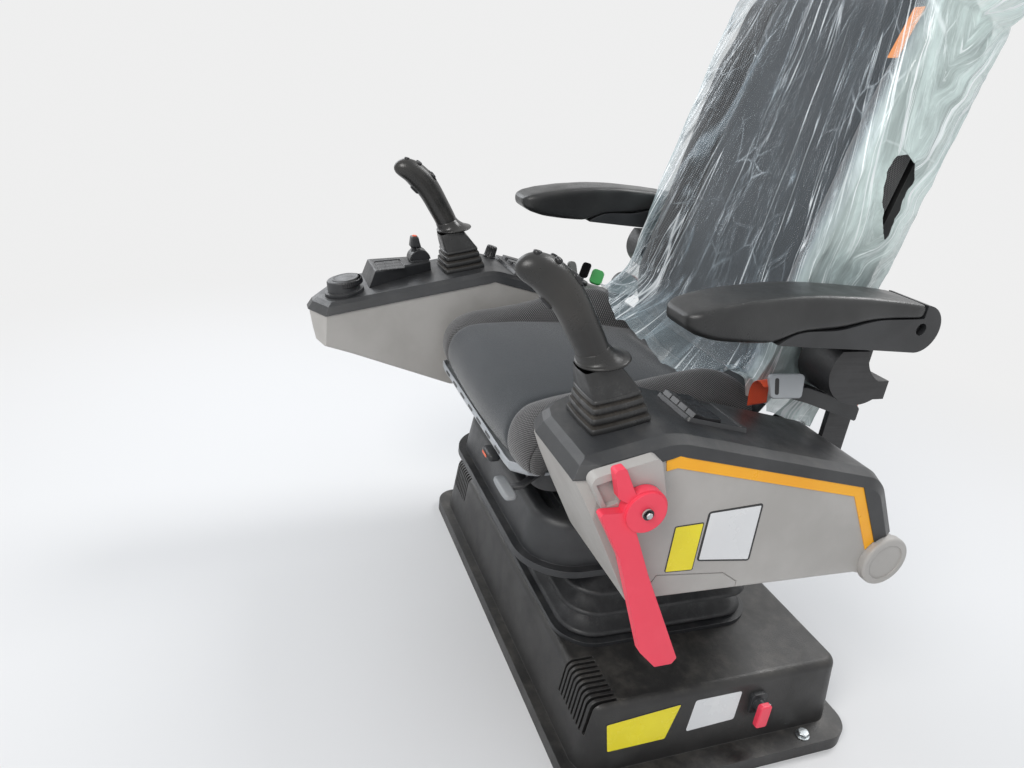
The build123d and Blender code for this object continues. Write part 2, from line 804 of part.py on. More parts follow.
    # Armrest: side outline cut to a rounded plan, with a separate hinge housing
    py, pz = armrest_pivot_y, armrest_pivot_z + (0 if side > 0 else right_armrest_lift)
    nose_y = py + armrest_end_r - armrest_length
    arm_in = armrest_centre - armrest_half
    arm_seam = shifted(armrest_seam, py, pz)
    seam_y, seam_z = arm_seam[-1]
    with BuildPart() as pad:
        with BuildSketch(Plane.YZ.offset(side * armrest_centre - armrest_half)):
            with BuildLine():
                rim = FilletPolyline(
                    (py, pz + armrest_end_r),
                    (py - 190, pz + armrest_crown + 6),
                    (nose_y, pz + armrest_crown * 0.6),
                    (nose_y, pz - 6),
                    (nose_y + 75, seam_z),
                    arm_seam[-1],
                    radius=[420, 24, 10, 60],
                )
                Line(rim @ 0, arm_seam[0])
                Spline(*arm_seam)
            make_face()
        extrude(amount=2 * armrest_half)
        with BuildSketch(Plane.XY.offset(pz - 3 * armrest_crown)):
            with Locations((side * armrest_centre, nose_y + armrest_length / 2)):
                RectangleRounded(2 * armrest_half, armrest_length, armrest_nose_r)
        extrude(amount=6 * armrest_crown, mode=Mode.INTERSECT)
        crest = pad.edges().filter_by(
            lambda edge: edge.center().Z > pz + armrest_crown / 2
            and abs(edge.tangent_at(0.5).X) < 0.1
            and edge.center().Y < py - 3
        )
        fillet(crest, radius=armrest_edge_r)
    save(pad.part, f"{hand}_armrest_pad")
    with BuildPart() as housing:
        with BuildSketch(Plane.YZ.offset(side * armrest_centre - armrest_half + 3)):
            with BuildLine():
                Spline(*arm_seam)
                Polyline(
                    arm_seam[-1],
                    (seam_y + 70, seam_z - 4),
                    (py - 78, pz - armrest_belly + 5),
                    (py, pz - armrest_end_r),
                )
                CenterArc((py, pz), armrest_end_r, -90, 180)
                Line((py, pz + armrest_end_r), arm_seam[0])
            make_face()
        extrude(amount=2 * armrest_half - 6)
        with BuildSketch(Plane.YZ.offset(side * armrest_centre - armrest_half)):
            with Locations((py, pz)):
                Circle(armrest_bolt_r + armrest_clearance)
        extrude(amount=2 * armrest_half, mode=Mode.SUBTRACT)
    save(housing.part, f"{hand}_armrest_housing")
    # Post: flat upright beside the seat, the armrest's bolt and the rest it lies down on
    rest_mid = py - 85
    foot_z = rest_foot_z + pz - armrest_pivot_z
    with BuildPart() as post:
        with BuildSketch(Plane.YZ.offset(side * axle_plate_x)):
            with Locations((py - 2, (axle_plate_top + pz) / 2)):
                Rectangle(post_width, pz - axle_plate_top)
            with Locations((py - 2, pz)):
                Circle(post_width / 2)
        extrude(amount=side * post_thick)
        with BuildSketch(Plane.YZ.offset(side * (axle_plate_x + post_thick))):
            with Locations((py, pz)):
                Circle(armrest_bolt_r)
        extrude(amount=side * (arm_in + 2 * armrest_half - 14 - axle_plate_x - post_thick))
        with BuildSketch(Plane.YZ.offset(side * (axle_plate_x + post_thick))):
            with BuildLine():
                inner = Spline(
                    (py - post_width / 2, foot_z + 30),
                    (rest_mid + rest_depth / 2 + 14, foot_z + 46),
                    (rest_mid + rest_depth / 2, pz - armrest_belly - rest_gap),
                )
                outer = Spline(
                    (rest_mid - rest_depth / 2, pz - armrest_belly - rest_gap),
                    (rest_mid - rest_depth / 2 - 4, foot_z + 20),
                    (rest_mid - rest_depth / 2 + 20, foot_z),
                    (py - post_width / 2, foot_z),
                )
                Line(inner @ 1, outer @ 0)
                Polyline(
                    outer @ 1,
                    (py - 4, foot_z),
                    (py - 4, foot_z + 30),
                    inner @ 0,
                )
            make_face()
        extrude(amount=side * (armrest_centre + rest_width / 2 - axle_plate_x - post_thick))
    save(post.part, f"{hand}_armrest_post")

# Stripe under the left cover's edge, turning down along its tail
with BuildPart() as stripe:
    with BuildSketch(Plane.YZ.offset(outer_x - shell_inset)):
        with BuildLine():
            Polyline(
                (ridge_y - 18, deck_z(ridge_y - 18) - cover_depth),
                (ridge_y, ridge_z - cover_depth),
                (knee_y, deck_z(knee_y) - cover_depth),
                (tail_y, tail_z),
            )
        trace(line_width=2 * stripe_width)
        with BuildLine():
            Polyline(
                (ridge_y - 60, deck_z(ridge_y - 60) - cover_depth),
                (ridge_y, ridge_z - cover_depth),
                (knee_y, deck_z(knee_y) - cover_depth),
                (tail_y, tail_z),
                (tail_y + 60, tail_z),
                (tail_y + 60, ridge_z),
                (ridge_y - 60, ridge_z),
                close=True,
            )
        make_face(mode=Mode.SUBTRACT)
        with Locations((axle_y, axle_z)):
            Circle(cap_r + panel_seam, mode=Mode.SUBTRACT)
    extrude(amount=stripe_thick)
save(stripe.part, "console_stripe")

# Bracket on the left console's outer face, and the red lock lever on its bolt
with BuildPart() as bracket:
    with BuildSketch(Plane.YZ.offset(outer_x)):
        Polygon(*shifted(bracket_outline, hub_y, hub_z), align=None)
        with Locations((hub_y, hub_z)):
            Circle(hub_r)
    extrude(amount=bracket_thick)
    fillet(bracket.edges().filter_by(Axis.X).filter_by(
        lambda edge: (edge.center() - Vector(edge.center().X, hub_y, hub_z)).length > hub_r + 6
    ), radius=10)
    with BuildSketch(Plane.YZ.offset(outer_x + bracket_thick)):
        Polygon(*shifted(bracket_pocket, hub_y, hub_z), align=None)
    extrude(amount=-pocket_sink, mode=Mode.SUBTRACT)
    with BuildSketch(Plane.YZ.offset(outer_x - shell_inset)):
        with Locations((hub_y, hub_z)):
            Circle(hub_r)
    extrude(amount=shell_inset)
    with BuildSketch(Plane.YZ.offset(outer_x + bracket_thick)):
        with Locations((hub_y, hub_z)):
            Circle(hub_bolt_r)
    extrude(amount=lever_thick + hub_disc + 2 * lever_gap)
    with BuildSketch(
        Plane.YZ.offset(outer_x + bracket_thick + lever_thick + hub_disc + 2 * lever_gap)
    ):
        with Locations((hub_y, hub_z)):
            Circle(hub_bolt_r + 2)
    extrude(amount=2.5)
save(bracket.part, "lever_bracket")
with BuildPart() as lever:
    with BuildSketch(Plane.YZ.offset(outer_x + bracket_thick + lever_gap)):
        Polygon(*shifted(lever_shank, hub_y, hub_z), align=None)
        Polygon(*shifted(lever_beak, hub_y, hub_z), align=None)
        with Locations((hub_y, hub_z)):
            Circle(hub_r)
    extrude(amount=lever_thick)
    edges = lever.edges().filter_by(Axis.X).filter_by(
        lambda edge: (edge.center() - Vector(edge.center().X, hub_y, hub_z)).length > hub_r + 8
    )
    fillet(edges, radius=4)
    with BuildSketch(Plane.YZ.offset(outer_x + bracket_thick + lever_gap + lever_thick)):
        with Locations((hub_y, hub_z)):
            Circle(hub_disc_r)
    extrude(amount=hub_disc)
    with BuildSketch(Plane.YZ.offset(outer_x + bracket_thick + lever_gap)):
        with Locations((hub_y, hub_z)):
            Circle(hub_bolt_r + hub_clearance)
    extrude(amount=lever_thick + hub_disc, mode=Mode.SUBTRACT)
save(lever.part, "lock_lever")

# Switch bank on the left cover's slope
rear_tilt = radians(rear_slope)
slope_rear = Plane(
    origin=(bank_x, bank_y, deck_z(bank_y)),
    x_dir=(1, 0, 0),
    z_dir=(0, sin(rear_tilt), cos(rear_tilt)),
)
bank_wide, bank_long = bank_size
rocker_pitch = bank_wide / rocker_count
row_shift = bank_long * 0.2
with BuildPart() as switch_bank:
    with BuildSketch(slope_rear):
        RectangleRounded(bank_wide, bank_long, 8)
    extrude(amount=switch_proud, taper=20)
    with BuildSketch(slope_rear.offset(switch_proud)):
        with Locations((0, -row_shift)):
            RectangleRounded(bank_wide * 0.92, bank_long * 0.5, 4)
        with Locations((0, 1.2 * row_shift)):
            RectangleRounded(bank_wide * 0.9, bank_long * 0.32, 5)
    extrude(amount=-switch_proud / 3, mode=Mode.SUBTRACT)
save(switch_bank.part, "switch_bank")
# Each rocker is a wedge that rises towards the stick
rocker_length = bank_long * 0.46
rocker_foot = switch_proud * 2 / 3
with BuildPart() as rockers:
    for i in range(rocker_count):
        middle = (i - (rocker_count - 1) / 2) * rocker_pitch * 0.92
        wedge = Plane(
            origin=slope_rear.from_local_coords((middle - rocker_pitch * 0.42, -row_shift, 0)),
            x_dir=slope_rear.y_dir,
            z_dir=slope_rear.x_dir,
        )
        with BuildSketch(wedge):
            with BuildLine():
                Polyline(
                    (-rocker_length / 2, rocker_foot),
                    (-rocker_length / 2 + 3, rocker_foot + 8),
                    (-2, rocker_foot + 5),
                    (rocker_length / 2 - 2, rocker_foot + 7),
                    (rocker_length / 2, rocker_foot),
                    close=True,
                )
            make_face()
        extrude(amount=rocker_pitch * 0.84)
save(rockers.part, "switch_rockers")

# Controls on the right cover: dial in its collar, keypad wedge, throttle pod, switch row
front_tilt = radians(front_slope)
dial_plane = Plane(
    origin=(-dial_x, dial_y, deck_z(dial_y)),
    x_dir=(1, 0, 0),
    z_dir=(0, -sin(front_tilt), cos(front_tilt)),
)
with BuildPart() as dial:
    with BuildSketch(dial_plane):
        Circle(dial_r + dial_collar)
    extrude(amount=dial_collar)
    with BuildSketch(dial_plane.offset(dial_collar)):
        Circle(dial_r)
    extrude(amount=dial_height - dial_collar, taper=5)
    fillet(dial.faces().sort_by(Axis.Z)[-1].edges(), radius=4)
save(dial.part, "jog_dial")
# Keypad: a wedge whose flat top rises towards the seat, drawn in at its tail
keypad_top = Plane(
    origin=(-keypad_near, keypad_front, deck_z(keypad_front) + keypad_height),
    x_dir=(1, 0, 0),
    z_dir=(0, -sin(radians(keypad_rise)), cos(radians(keypad_rise))),
)


def keypad_z(y):
    """Height of the keypad's top at y."""
    return keypad_top.origin.Z + (y - keypad_front) * tan(radians(keypad_rise))


with BuildPart() as keypad:
    with BuildSketch(Plane.YZ.offset(-keypad_near - keypad_width)):
        Polygon(
            (keypad_front, deck_z(keypad_front)),
            (keypad_front + 11, keypad_z(keypad_front + 11)),
            (keypad_rear - 3, keypad_z(keypad_rear - 3)),
            (keypad_rear, deck_z(keypad_rear)),
            align=None,
        )
    extrude(amount=keypad_width)
    with BuildSketch(Plane.XY.offset(deck_z(keypad_front) - 10)):
        Polygon(
            (-keypad_near, keypad_front),
            (-keypad_tail_near, keypad_rear),
            (-keypad_tail_near - keypad_tail_width, keypad_rear),
            (-keypad_near - keypad_width, keypad_front),
            align=None,
        )
    extrude(amount=4 * keypad_height, mode=Mode.INTERSECT)
    fillet(keypad.faces().sort_by(Axis.Z)[-1].edges(), radius=keypad_edge_r)
    # Sunk key field in front and a raised plate under the throttle
    pad_rise = (keypad_pad_y - keypad_front) / cos(radians(keypad_rise))
    plate_rise = (throttle_y - keypad_front) / cos(radians(keypad_rise))
    middle = -keypad_width / 2 + 6
    with BuildSketch(keypad_top):
        with Locations((middle + 3, pad_rise)):
            RectangleRounded(*keypad_pad, 5)
    extrude(amount=-2, mode=Mode.SUBTRACT)
    with BuildSketch(keypad_top):
        with Locations((middle - 18, plate_rise)):
            RectangleRounded(knob_width + 8, 2 * knob_r - 6, 4)
    extrude(amount=throttle_plate)
save(keypad.part, "keypad_block")
# Throttle: half a drum across the plate, with a thumb paddle standing on it
knob_x = -keypad_near + middle - 18
with BuildPart() as knob:
    with BuildSketch(Plane.YZ.offset(knob_x - knob_width / 2)):
        with Locations((throttle_y, keypad_z(throttle_y) + throttle_plate - knob_sunk)):
            Circle(knob_r)
    extrude(amount=knob_width)
    fillet(knob.edges().filter_by(GeomType.CIRCLE), radius=1.5)
    with BuildSketch(Plane.XY.offset(keypad_z(throttle_y) + knob_r / 2)):
        with Locations((knob_x, throttle_y - knob_r * 0.55)):
            RectangleRounded(paddle_width, paddle_thick, 3)
    extrude(amount=knob_r / 2 + paddle_rise)
    split(bisect_by=keypad_top.offset(throttle_plate), keep=Keep.TOP)
save(knob.part, "throttle_knob")
right_rear = Plane(
    origin=(-console_x, row_y, deck_z(row_y)),
    x_dir=(1, 0, 0),
    z_dir=(0, sin(rear_tilt), cos(rear_tilt)),
)
row_wide, row_long = row_size
with BuildPart() as switch_row:
    with BuildSketch(right_rear):
        RectangleRounded(row_wide, row_long, 10)
    extrude(amount=switch_proud, taper=20)
    with BuildSketch(right_rear.offset(switch_proud)):
        with GridLocations(row_wide * 0.23, 0, 4, 1):
            RectangleRounded(row_wide * 0.17, row_long * 0.6, 4)
    extrude(amount=switch_proud, taper=10)
save(switch_row.part, "switch_row")

# Belt buckle on the left, held out from the post, and belt retractor on the right
with BuildPart() as buckle:
    with BuildSketch(Plane.YZ.offset(buckle_x)):
        with BuildLine():
            Polyline(
                (buckle_front, buckle_front_z),
                (buckle_front + 24, buckle_front_z + 2),
                (buckle_rear - 8, buckle_rear_z + 2),
                (buckle_rear, buckle_rear_z - 6),
                (buckle_rear, buckle_rear_z - buckle_thick - 12),
                (buckle_front + 30, buckle_front_z - buckle_thick - 8),
                (buckle_front, buckle_front_z - buckle_thick),
                close=True,
            )
        make_face()
    extrude(amount=buckle_width)
    fillet(buckle.edges().filter_by(Axis.X), radius=3)
    # Stalk that reaches back to the post's plate
    with BuildSketch(Plane.YZ.offset(axle_plate_x + post_thick)):
        with Locations((armrest_pivot_y - 14, buckle_rear_z - 14)):
            Rectangle(18, 18)
    extrude(amount=buckle_x - axle_plate_x - post_thick)
save(buckle.part, "belt_buckle")
belt_z = rest_foot_z + right_armrest_lift - retractor_r - 8
with BuildPart() as retractor:
    with BuildSketch(Plane.YZ.offset(-axle_plate_x - post_thick)):
        with Locations((armrest_pivot_y - 142, belt_z)):
            Circle(retractor_r)
        with Locations((armrest_pivot_y - 82, belt_z)):
            Rectangle(120, 20)
    extrude(amount=-retractor_length * 0.5)
    fillet(retractor.edges().filter_by(GeomType.CIRCLE).sort_by(Axis.X)[0], radius=3)
save(retractor.part, "belt_retractor")

# Seat pan with the recliner plates, cushion and side bolsters
pan_mid, pan_length = span(pan_front, pan_rear)
with BuildPart() as seat_pan:
    with BuildSketch(Plane.XY.offset(pan_bottom)):
        with Locations((0, pan_mid)):
            RectangleRounded(2 * pan_half, pan_length, 30)
    extrude(amount=pan_height)
    for side in (1, -1):
        with BuildSketch(Plane.YZ.offset(side * (recliner_x - hinge_plate))):
            with Locations((hinge_y, (hinge_z + pan_bottom + 10) / 2)):
                Rectangle(2 * hinge_r, hinge_z - pan_bottom - 10)
            with Locations((hinge_y, hinge_z)):
                Circle(hinge_r)
        extrude(amount=side * hinge_plate)
        with BuildSketch(Plane.YZ.offset(side * recliner_x)):
            with Locations((hinge_y, hinge_z)):
                Circle(hinge_pin_r)
        extrude(amount=side * (hinge_plate + 3))
save(seat_pan.part, "seat_pan")
with BuildPart() as cushion:
    with BuildSketch(Plane.YZ.offset(-cushion_centre_half)):
        with BuildLine():
            crown = Spline(
                (cushion_front + 6, pan_top),
                (cushion_front, cushion_top - 42),
                (cushion_front + 34, cushion_top - 2),
                (cushion_front + 130, cushion_top + 6),
                (cushion_rear - 110, cushion_top),
                (cushion_rear, cushion_top - 6),
            )
            Polyline(crown @ 1, (cushion_rear, pan_top), crown @ 0)
        make_face()
    extrude(amount=2 * cushion_centre_half)
save(cushion.part, "seat_cushion")
for side, hand in hands.items():
    with BuildPart() as bolster:
        with BuildSketch(Plane.YZ.offset(side * cushion_centre_half)):
            with BuildLine():
                crown = Spline(
                    (cushion_front + 10, pan_top),
                    (cushion_front + 3, cushion_top - 42),
                    (cushion_front + 40, cushion_top + 4),
                    (cushion_front + 150, cushion_top + 32),
                    (bolster_peak_y - 60, bolster_peak_z - 5),
                    (bolster_peak_y, bolster_peak_z),
                    (cushion_rear - 22, bolster_peak_z - 30),
                    (cushion_rear, bolster_peak_z - 52),
                )
                Polyline(crown @ 1, (cushion_rear, pan_top), crown @ 0)
            make_face()
        extrude(amount=side * (cushion_half - cushion_centre_half))
        crest = bolster.edges().filter_by(GeomType.BSPLINE).sort_by(Axis.X)
        fillet(crest[-1] if side > 0 else crest[0], radius=bolster_edge_r)
    save(bolster.part, f"seat_bolster_{hand}")

# Backrest in its own leaning frame: u across, v up the slope, w out of the front
lean = radians(back_angle)
back_plane = Plane(
    origin=(0, back_foot_y, back_foot_z),
    x_dir=(1, 0, 0),
    z_dir=(0, -cos(lean), sin(lean)),
)
with BuildPart() as back_cushion:
    with BuildSketch(back_plane):
        with Locations((0, back_height / 2)):
            RectangleRounded(2 * back_half, back_height, 60)
    extrude(amount=-back_thick)
    fillet(back_cushion.faces().sort_by(Axis.Y)[0].edges(), radius=16)
save(back_cushion.part, "back_cushion")
for side, hand in hands.items():
    with BuildPart() as back_side:
        with BuildSketch(back_plane.offset(0)):
            with Locations((side * (back_half + back_centre_half) / 2,
                            back_bolster_start + (back_height - back_bolster_start - 70) / 2)):
                RectangleRounded(
                    back_half - back_centre_half,
                    back_height - back_bolster_start - 70,
                    24,
                )
        extrude(amount=back_bolster, taper=18)
    save(back_side.part, f"back_bolster_{hand}")
shell_plane = back_plane.offset(-back_thick)
with BuildPart() as back_shell:
    with BuildSketch(shell_plane):
        with Locations((0, back_height / 2 - 6)):
            RectangleRounded(2 * back_half - 16, back_height - 4, 56)
    extrude(amount=-back_shell_thick)
    for side in (1, -1):
        with BuildSketch(Plane.YZ.offset(side * (recliner_x + 1))):
            with Locations((hinge_y, hinge_z)):
                Circle(hinge_r)
            Polygon(
                (hinge_y - 18, hinge_z + 20),
                (hinge_y + 27, hinge_z),
                (hinge_y + 50, back_foot_z + 30),
                (hinge_y + 33, back_foot_z + 34),
                (hinge_y + 20, back_foot_z - 18),
                align=None,
            )
            with Locations((hinge_y, hinge_z)):
                Circle(hinge_pin_r + hinge_clearance, mode=Mode.SUBTRACT)
        extrude(amount=side * (hinge_plate + 4))
save(back_shell.part, "back_shell")
with BuildPart() as headrest:
    with BuildSketch(back_plane.offset(4)):
        with Locations((0, back_height + head_gap + head_height / 2)):
            RectangleRounded(2 * head_half, head_height, 50)
    extrude(amount=-back_thick - 10)
    fillet(headrest.faces().sort_by(Axis.Y)[0].edges(), radius=18)
    for side in (1, -1):
        with BuildSketch(
            Plane(
                origin=back_plane.origin
                + back_plane.y_dir * (back_height + head_gap + 4)
                - back_plane.z_dir * (back_thick / 2),
                x_dir=(1, 0, 0),
                z_dir=-back_plane.y_dir,
            )
        ):
            with Locations((side * 70, 0)):
                Circle(head_post_r)
        extrude(amount=head_gap + 4)
save(headrest.part, "headrest")

# Film bag over the backrest: one thin closed skin with long folds, open at its foot
with BuildPart() as film:
    for skin, mode in ((film_thick, Mode.ADD), (0, Mode.SUBTRACT)):
        for below, above in zip(film_stations, film_stations[1:]):
            for height, left, right, front, rear in (below, above):
                lowest = height == film_stations[0][0] and not skin
                topmost = height == film_stations[-1][0]
                level = height - (1 if lowest else 0) + (skin if topmost else 0)
                across = Plane(
                    origin=back_plane.origin + back_plane.y_dir * level,
                    x_dir=(1, 0, 0),
                    z_dir=back_plane.y_dir,
                )
                # Folds stand out of the front, cut corners lead to a flat rear
                inset = film_corner
                pleats = [
                    (
                        -right + inset + (left + right - 2 * inset) * i / (2 * film_pleats),
                        -front - skin - (film_pleat if i % 2 else 0),
                    )
                    for i in range(2 * film_pleats + 1)
                ]
                with BuildSketch(across):
                    Polygon(
                        (-right - skin, -front + inset),
                        *pleats,
                        (left + skin, -front + inset),
                        (left + skin, rear - inset),
                        (left - inset, rear + skin),
                        (-right + inset, rear + skin),
                        (-right - skin, rear - inset),
                        align=None,
                    )
            loft(ruled=True, mode=mode)
save(film.part, "back_film")
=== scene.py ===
import bpy, math
from mathutils import Vector, Matrix, noise
from mathutils.bvhtree import BVHTree
from math import sin, cos, pi, radians


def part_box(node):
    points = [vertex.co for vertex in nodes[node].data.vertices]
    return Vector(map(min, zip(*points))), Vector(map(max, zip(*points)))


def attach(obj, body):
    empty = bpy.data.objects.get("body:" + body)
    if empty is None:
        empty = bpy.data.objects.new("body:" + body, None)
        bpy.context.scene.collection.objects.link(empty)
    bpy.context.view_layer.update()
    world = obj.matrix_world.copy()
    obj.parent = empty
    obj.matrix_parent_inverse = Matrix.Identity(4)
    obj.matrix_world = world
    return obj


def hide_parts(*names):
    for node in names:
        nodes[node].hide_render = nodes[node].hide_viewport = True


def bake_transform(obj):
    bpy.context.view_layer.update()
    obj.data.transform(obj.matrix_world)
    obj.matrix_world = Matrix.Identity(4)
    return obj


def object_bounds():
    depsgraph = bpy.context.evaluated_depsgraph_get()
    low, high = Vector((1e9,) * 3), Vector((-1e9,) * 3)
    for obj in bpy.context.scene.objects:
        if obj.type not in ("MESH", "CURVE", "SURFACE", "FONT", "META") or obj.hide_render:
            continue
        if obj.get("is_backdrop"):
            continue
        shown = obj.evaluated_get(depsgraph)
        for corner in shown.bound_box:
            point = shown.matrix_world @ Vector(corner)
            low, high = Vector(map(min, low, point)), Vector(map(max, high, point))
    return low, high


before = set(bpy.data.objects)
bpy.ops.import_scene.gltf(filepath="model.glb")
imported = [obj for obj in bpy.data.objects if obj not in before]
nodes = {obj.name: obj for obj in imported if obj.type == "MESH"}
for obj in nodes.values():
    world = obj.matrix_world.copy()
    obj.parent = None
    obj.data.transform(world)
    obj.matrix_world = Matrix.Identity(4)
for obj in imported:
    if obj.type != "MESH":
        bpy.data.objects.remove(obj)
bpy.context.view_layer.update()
scene = bpy.context.scene


def link(name, data):
    obj = bpy.data.objects.new(name, data)
    scene.collection.objects.link(obj)
    return obj


# ---------------------------------------------------------------- camera and light
def camera():
    """Camera solved from the photograph: place, aim, roll and lens."""
    data = bpy.data.cameras.new("camera")
    cam = link("camera", data)
    data.sensor_width = 36
    data.lens = 26.07
    data.clip_start = .02
    az, el, ro = (radians(a) for a in (67.9, 23.1, 7.2))
    aim = Vector((-sin(az) * cos(el), cos(az) * cos(el), -sin(el)))
    right = Vector((cos(az), sin(az), 0))
    up = right.cross(aim)
    r2 = right * cos(ro) + up * sin(ro)
    u2 = up * cos(ro) - right * sin(ro)
    pose = Matrix((r2, u2, -aim)).transposed().to_4x4()
    pose.translation = Vector((1.1014, -.725, 1.0234))
    cam.matrix_world = pose
    scene.camera = cam


def lamp(name, place, target, size, power, colour=(1, 1, 1)):
    data = bpy.data.lights.new(name, "AREA")
    data.shape = "DISK"
    data.size = size
    data.energy = power
    data.color = colour
    obj = link(name, data)
    obj.location = place
    obj.rotation_euler = (Vector(target) - Vector(place)).to_track_quat("-Z", "Y").to_euler()


# ---------------------------------------------------------------- materials
def put(tree, value, socket):
    """Sets a socket to a number or a colour, or links it to another node's output."""
    if isinstance(value, (int, float)):
        socket.default_value = value
    elif isinstance(value, tuple):
        socket.default_value = value if len(value) == 4 or len(socket.default_value) == 3 else (*value, 1)
    else:
        tree.links.new(value, socket)


def add(tree, kind, *inputs, **settings):
    """New node whose first sockets take the inputs in order."""
    node = tree.nodes.new("ShaderNode" + kind)
    for key, value in settings.items():
        setattr(node, key, value)
    for value, socket in zip(inputs, node.inputs):
        put(tree, value, socket)
    return node


class Shade:
    """One principled material, with small helpers for its procedural detail."""

    def __init__(self, name, rough, metal=0.0, **sockets):
        self.mat = bpy.data.materials.new(name)
        self.mat.use_nodes = True
        self.tree = self.mat.node_tree
        self.inputs = self.tree.nodes["Principled BSDF"].inputs
        self.set(Roughness=rough, Metallic=metal, **sockets)
        coords = self.new("TexCoord").outputs
        self.object, self.uv = coords["Object"], coords["UV"]
        self.normal = None

    def set(self, **sockets):
        for key, value in sockets.items():
            put(self.tree, value, self.inputs[key.replace("_", " ")])

    def new(self, kind, *inputs, **settings):
        return add(self.tree, kind, *inputs, **settings)

    def math(self, operation, a, b=0.0, c=0.0):
        return self.new("Math", a, b, c, operation=operation).outputs[0]

    def times(self, a, b):
        return self.math("MULTIPLY", a, b)

    def plus(self, a, b):
        return self.math("ADD", a, b)

    def texture(self, node, vector, stretch, **sockets):
        """Outputs of a texture node that reads the vector, or the object's own coordinates."""
        source = vector or self.object
        if stretch:
            mapping = self.new("Mapping", source)
            mapping.inputs["Scale"].default_value = stretch
            source = mapping.outputs[0]
        for key, value in dict(sockets, Vector=source).items():
            put(self.tree, value, node.inputs[key])
        return node.outputs

    def noise(self, scale, detail=3, rough=.55, vector=None, stretch=None, distort=0.0):
        return self.texture(self.new("TexNoise"), vector, stretch, Scale=scale, Detail=detail, Roughness=rough,
            Distortion=distort)["Fac"]

    def cells(self, scale, feature="F1", vector=None, stretch=None):
        return self.texture(self.new("TexVoronoi", feature=feature), vector, stretch, Scale=scale)["Distance"]

    def warped(self, vector, amount):
        """The vector pushed about by a noise, so that cells don't have straight sides."""
        push = self.texture(self.new("TexNoise"), vector, None, Scale=6)["Color"]
        return self.new("VectorMath", push, (amount, amount, 0), vector, operation="MULTIPLY_ADD").outputs[0]

    def span(self, value, a, b, low=0.0, high=1.0):
        """Smooth step from low to high while the value goes from a to b."""
        return self.new("MapRange", value, a, b, low, high, interpolation_type="SMOOTHSTEP").outputs[0]

    def crossing(self, field, width):
        """Thin line where a noise crosses its middle."""
        return self.span(self.math("ABSOLUTE", self.math("SUBTRACT", field, .5)), width, 0.0)

    def mix(self, factor, a, b):
        node = self.new("Mix", factor, data_type="RGBA")
        put(self.tree, a, node.inputs[6])
        put(self.tree, b, node.inputs[7])
        return node.outputs[2]

    def bump(self, height, depth, strength=1.0):
        node = self.new("Bump")
        for key, value in (("Strength", strength), ("Distance", depth), ("Height", height),
                ("Normal", self.normal)):
            if value is not None:
                put(self.tree, value, node.inputs[key])
        self.normal = node.outputs[0]
        self.set(Normal=self.normal)

    def edges(self, radius=.0016):
        """Softens the shading of hard edges and returns a mask of them, for wear."""
        self.normal = self.new("Bevel", radius, samples=4).outputs[0]
        self.set(Normal=self.normal)
        flat = self.new("NewGeometry").outputs["Normal"]
        return self.span(self.new("VectorMath", self.normal, flat, operation="DOT_PRODUCT").outputs["Value"],
            .995, .86)

    def upward(self):
        """Mask of faces that look up, where dust settles."""
        split = self.new("SeparateXYZ", self.new("NewGeometry").outputs["Normal"])
        return self.span(split.outputs["Z"], .45, .98)

    def done(self, name, colour, roughness=None):
        """Puts the last colour and roughness on the shader and files the material under its name."""
        self.set(Base_Color=colour)
        if roughness is not None:
            self.set(Roughness=roughness)
        MAT[name] = self.mat


MAT = {}


def moulded(name, base, light, dusty, rough=.46, grain=1100, depth=.00022, dust=.35, wear=.5, radius=.0016,
        **sockets):
    """Grained injection moulding: fine leather-like grain, dull and glossy patches, dust and rubbed edges."""
    s = Shade(name, rough, **sockets)
    mask = s.edges(radius)
    cloud = s.noise(9, 4)
    specks = s.span(s.noise(420, 2), .66, .76)
    tone = s.mix(s.span(cloud, .35, .7), base, light)
    fall = s.times(s.upward(), s.span(s.noise(23, 5, .7), .4, .75, 0, dust))
    tone = s.mix(s.times(fall, s.plus(specks, .45)), tone, dusty)
    tone = s.mix(s.times(mask, wear), tone, tuple(min(1.0, c * 1.9 + .02) for c in light))
    s.bump(s.cells(grain), depth, .55)
    s.bump(s.noise(grain * .45, 3), depth, .35)
    s.done(name, tone, s.span(s.noise(14, 5, .65), .3, .75, rough - .07, rough + .12))


def metal(name, colour, rough, metallic=1.0, scratch=.15):
    s = Shade(name, rough, metallic)
    mask = s.edges(.001)
    streak = s.noise(240, 4, .6, stretch=(1, .06, 1))
    tone = s.mix(s.span(s.noise(30, 4), .35, .7), colour, tuple(c * .72 for c in colour))
    s.bump(streak, .0001, .4)
    s.done(name, s.mix(s.times(mask, .5), tone, tuple(min(1.0, c * 1.6 + .05) for c in colour)),
        s.span(streak, .3, .7, max(.05, rough - scratch), rough + scratch))


def rubber(name, base, dusty, rough=.55):
    s = Shade(name, rough)
    s.edges(.001)
    patch = s.span(s.noise(16, 5, .7), .42, .75)
    fine = s.span(s.noise(300, 3, .7), .45, .8)
    tone = s.mix(patch, base, tuple(c * 1.7 + .004 for c in base))
    s.bump(s.noise(900, 2), .0001, .5)
    s.done(name, s.mix(s.times(fine, s.times(patch, .5)), tone, dusty),
        s.span(s.noise(40, 4), .3, .7, rough - .1, rough + .12))


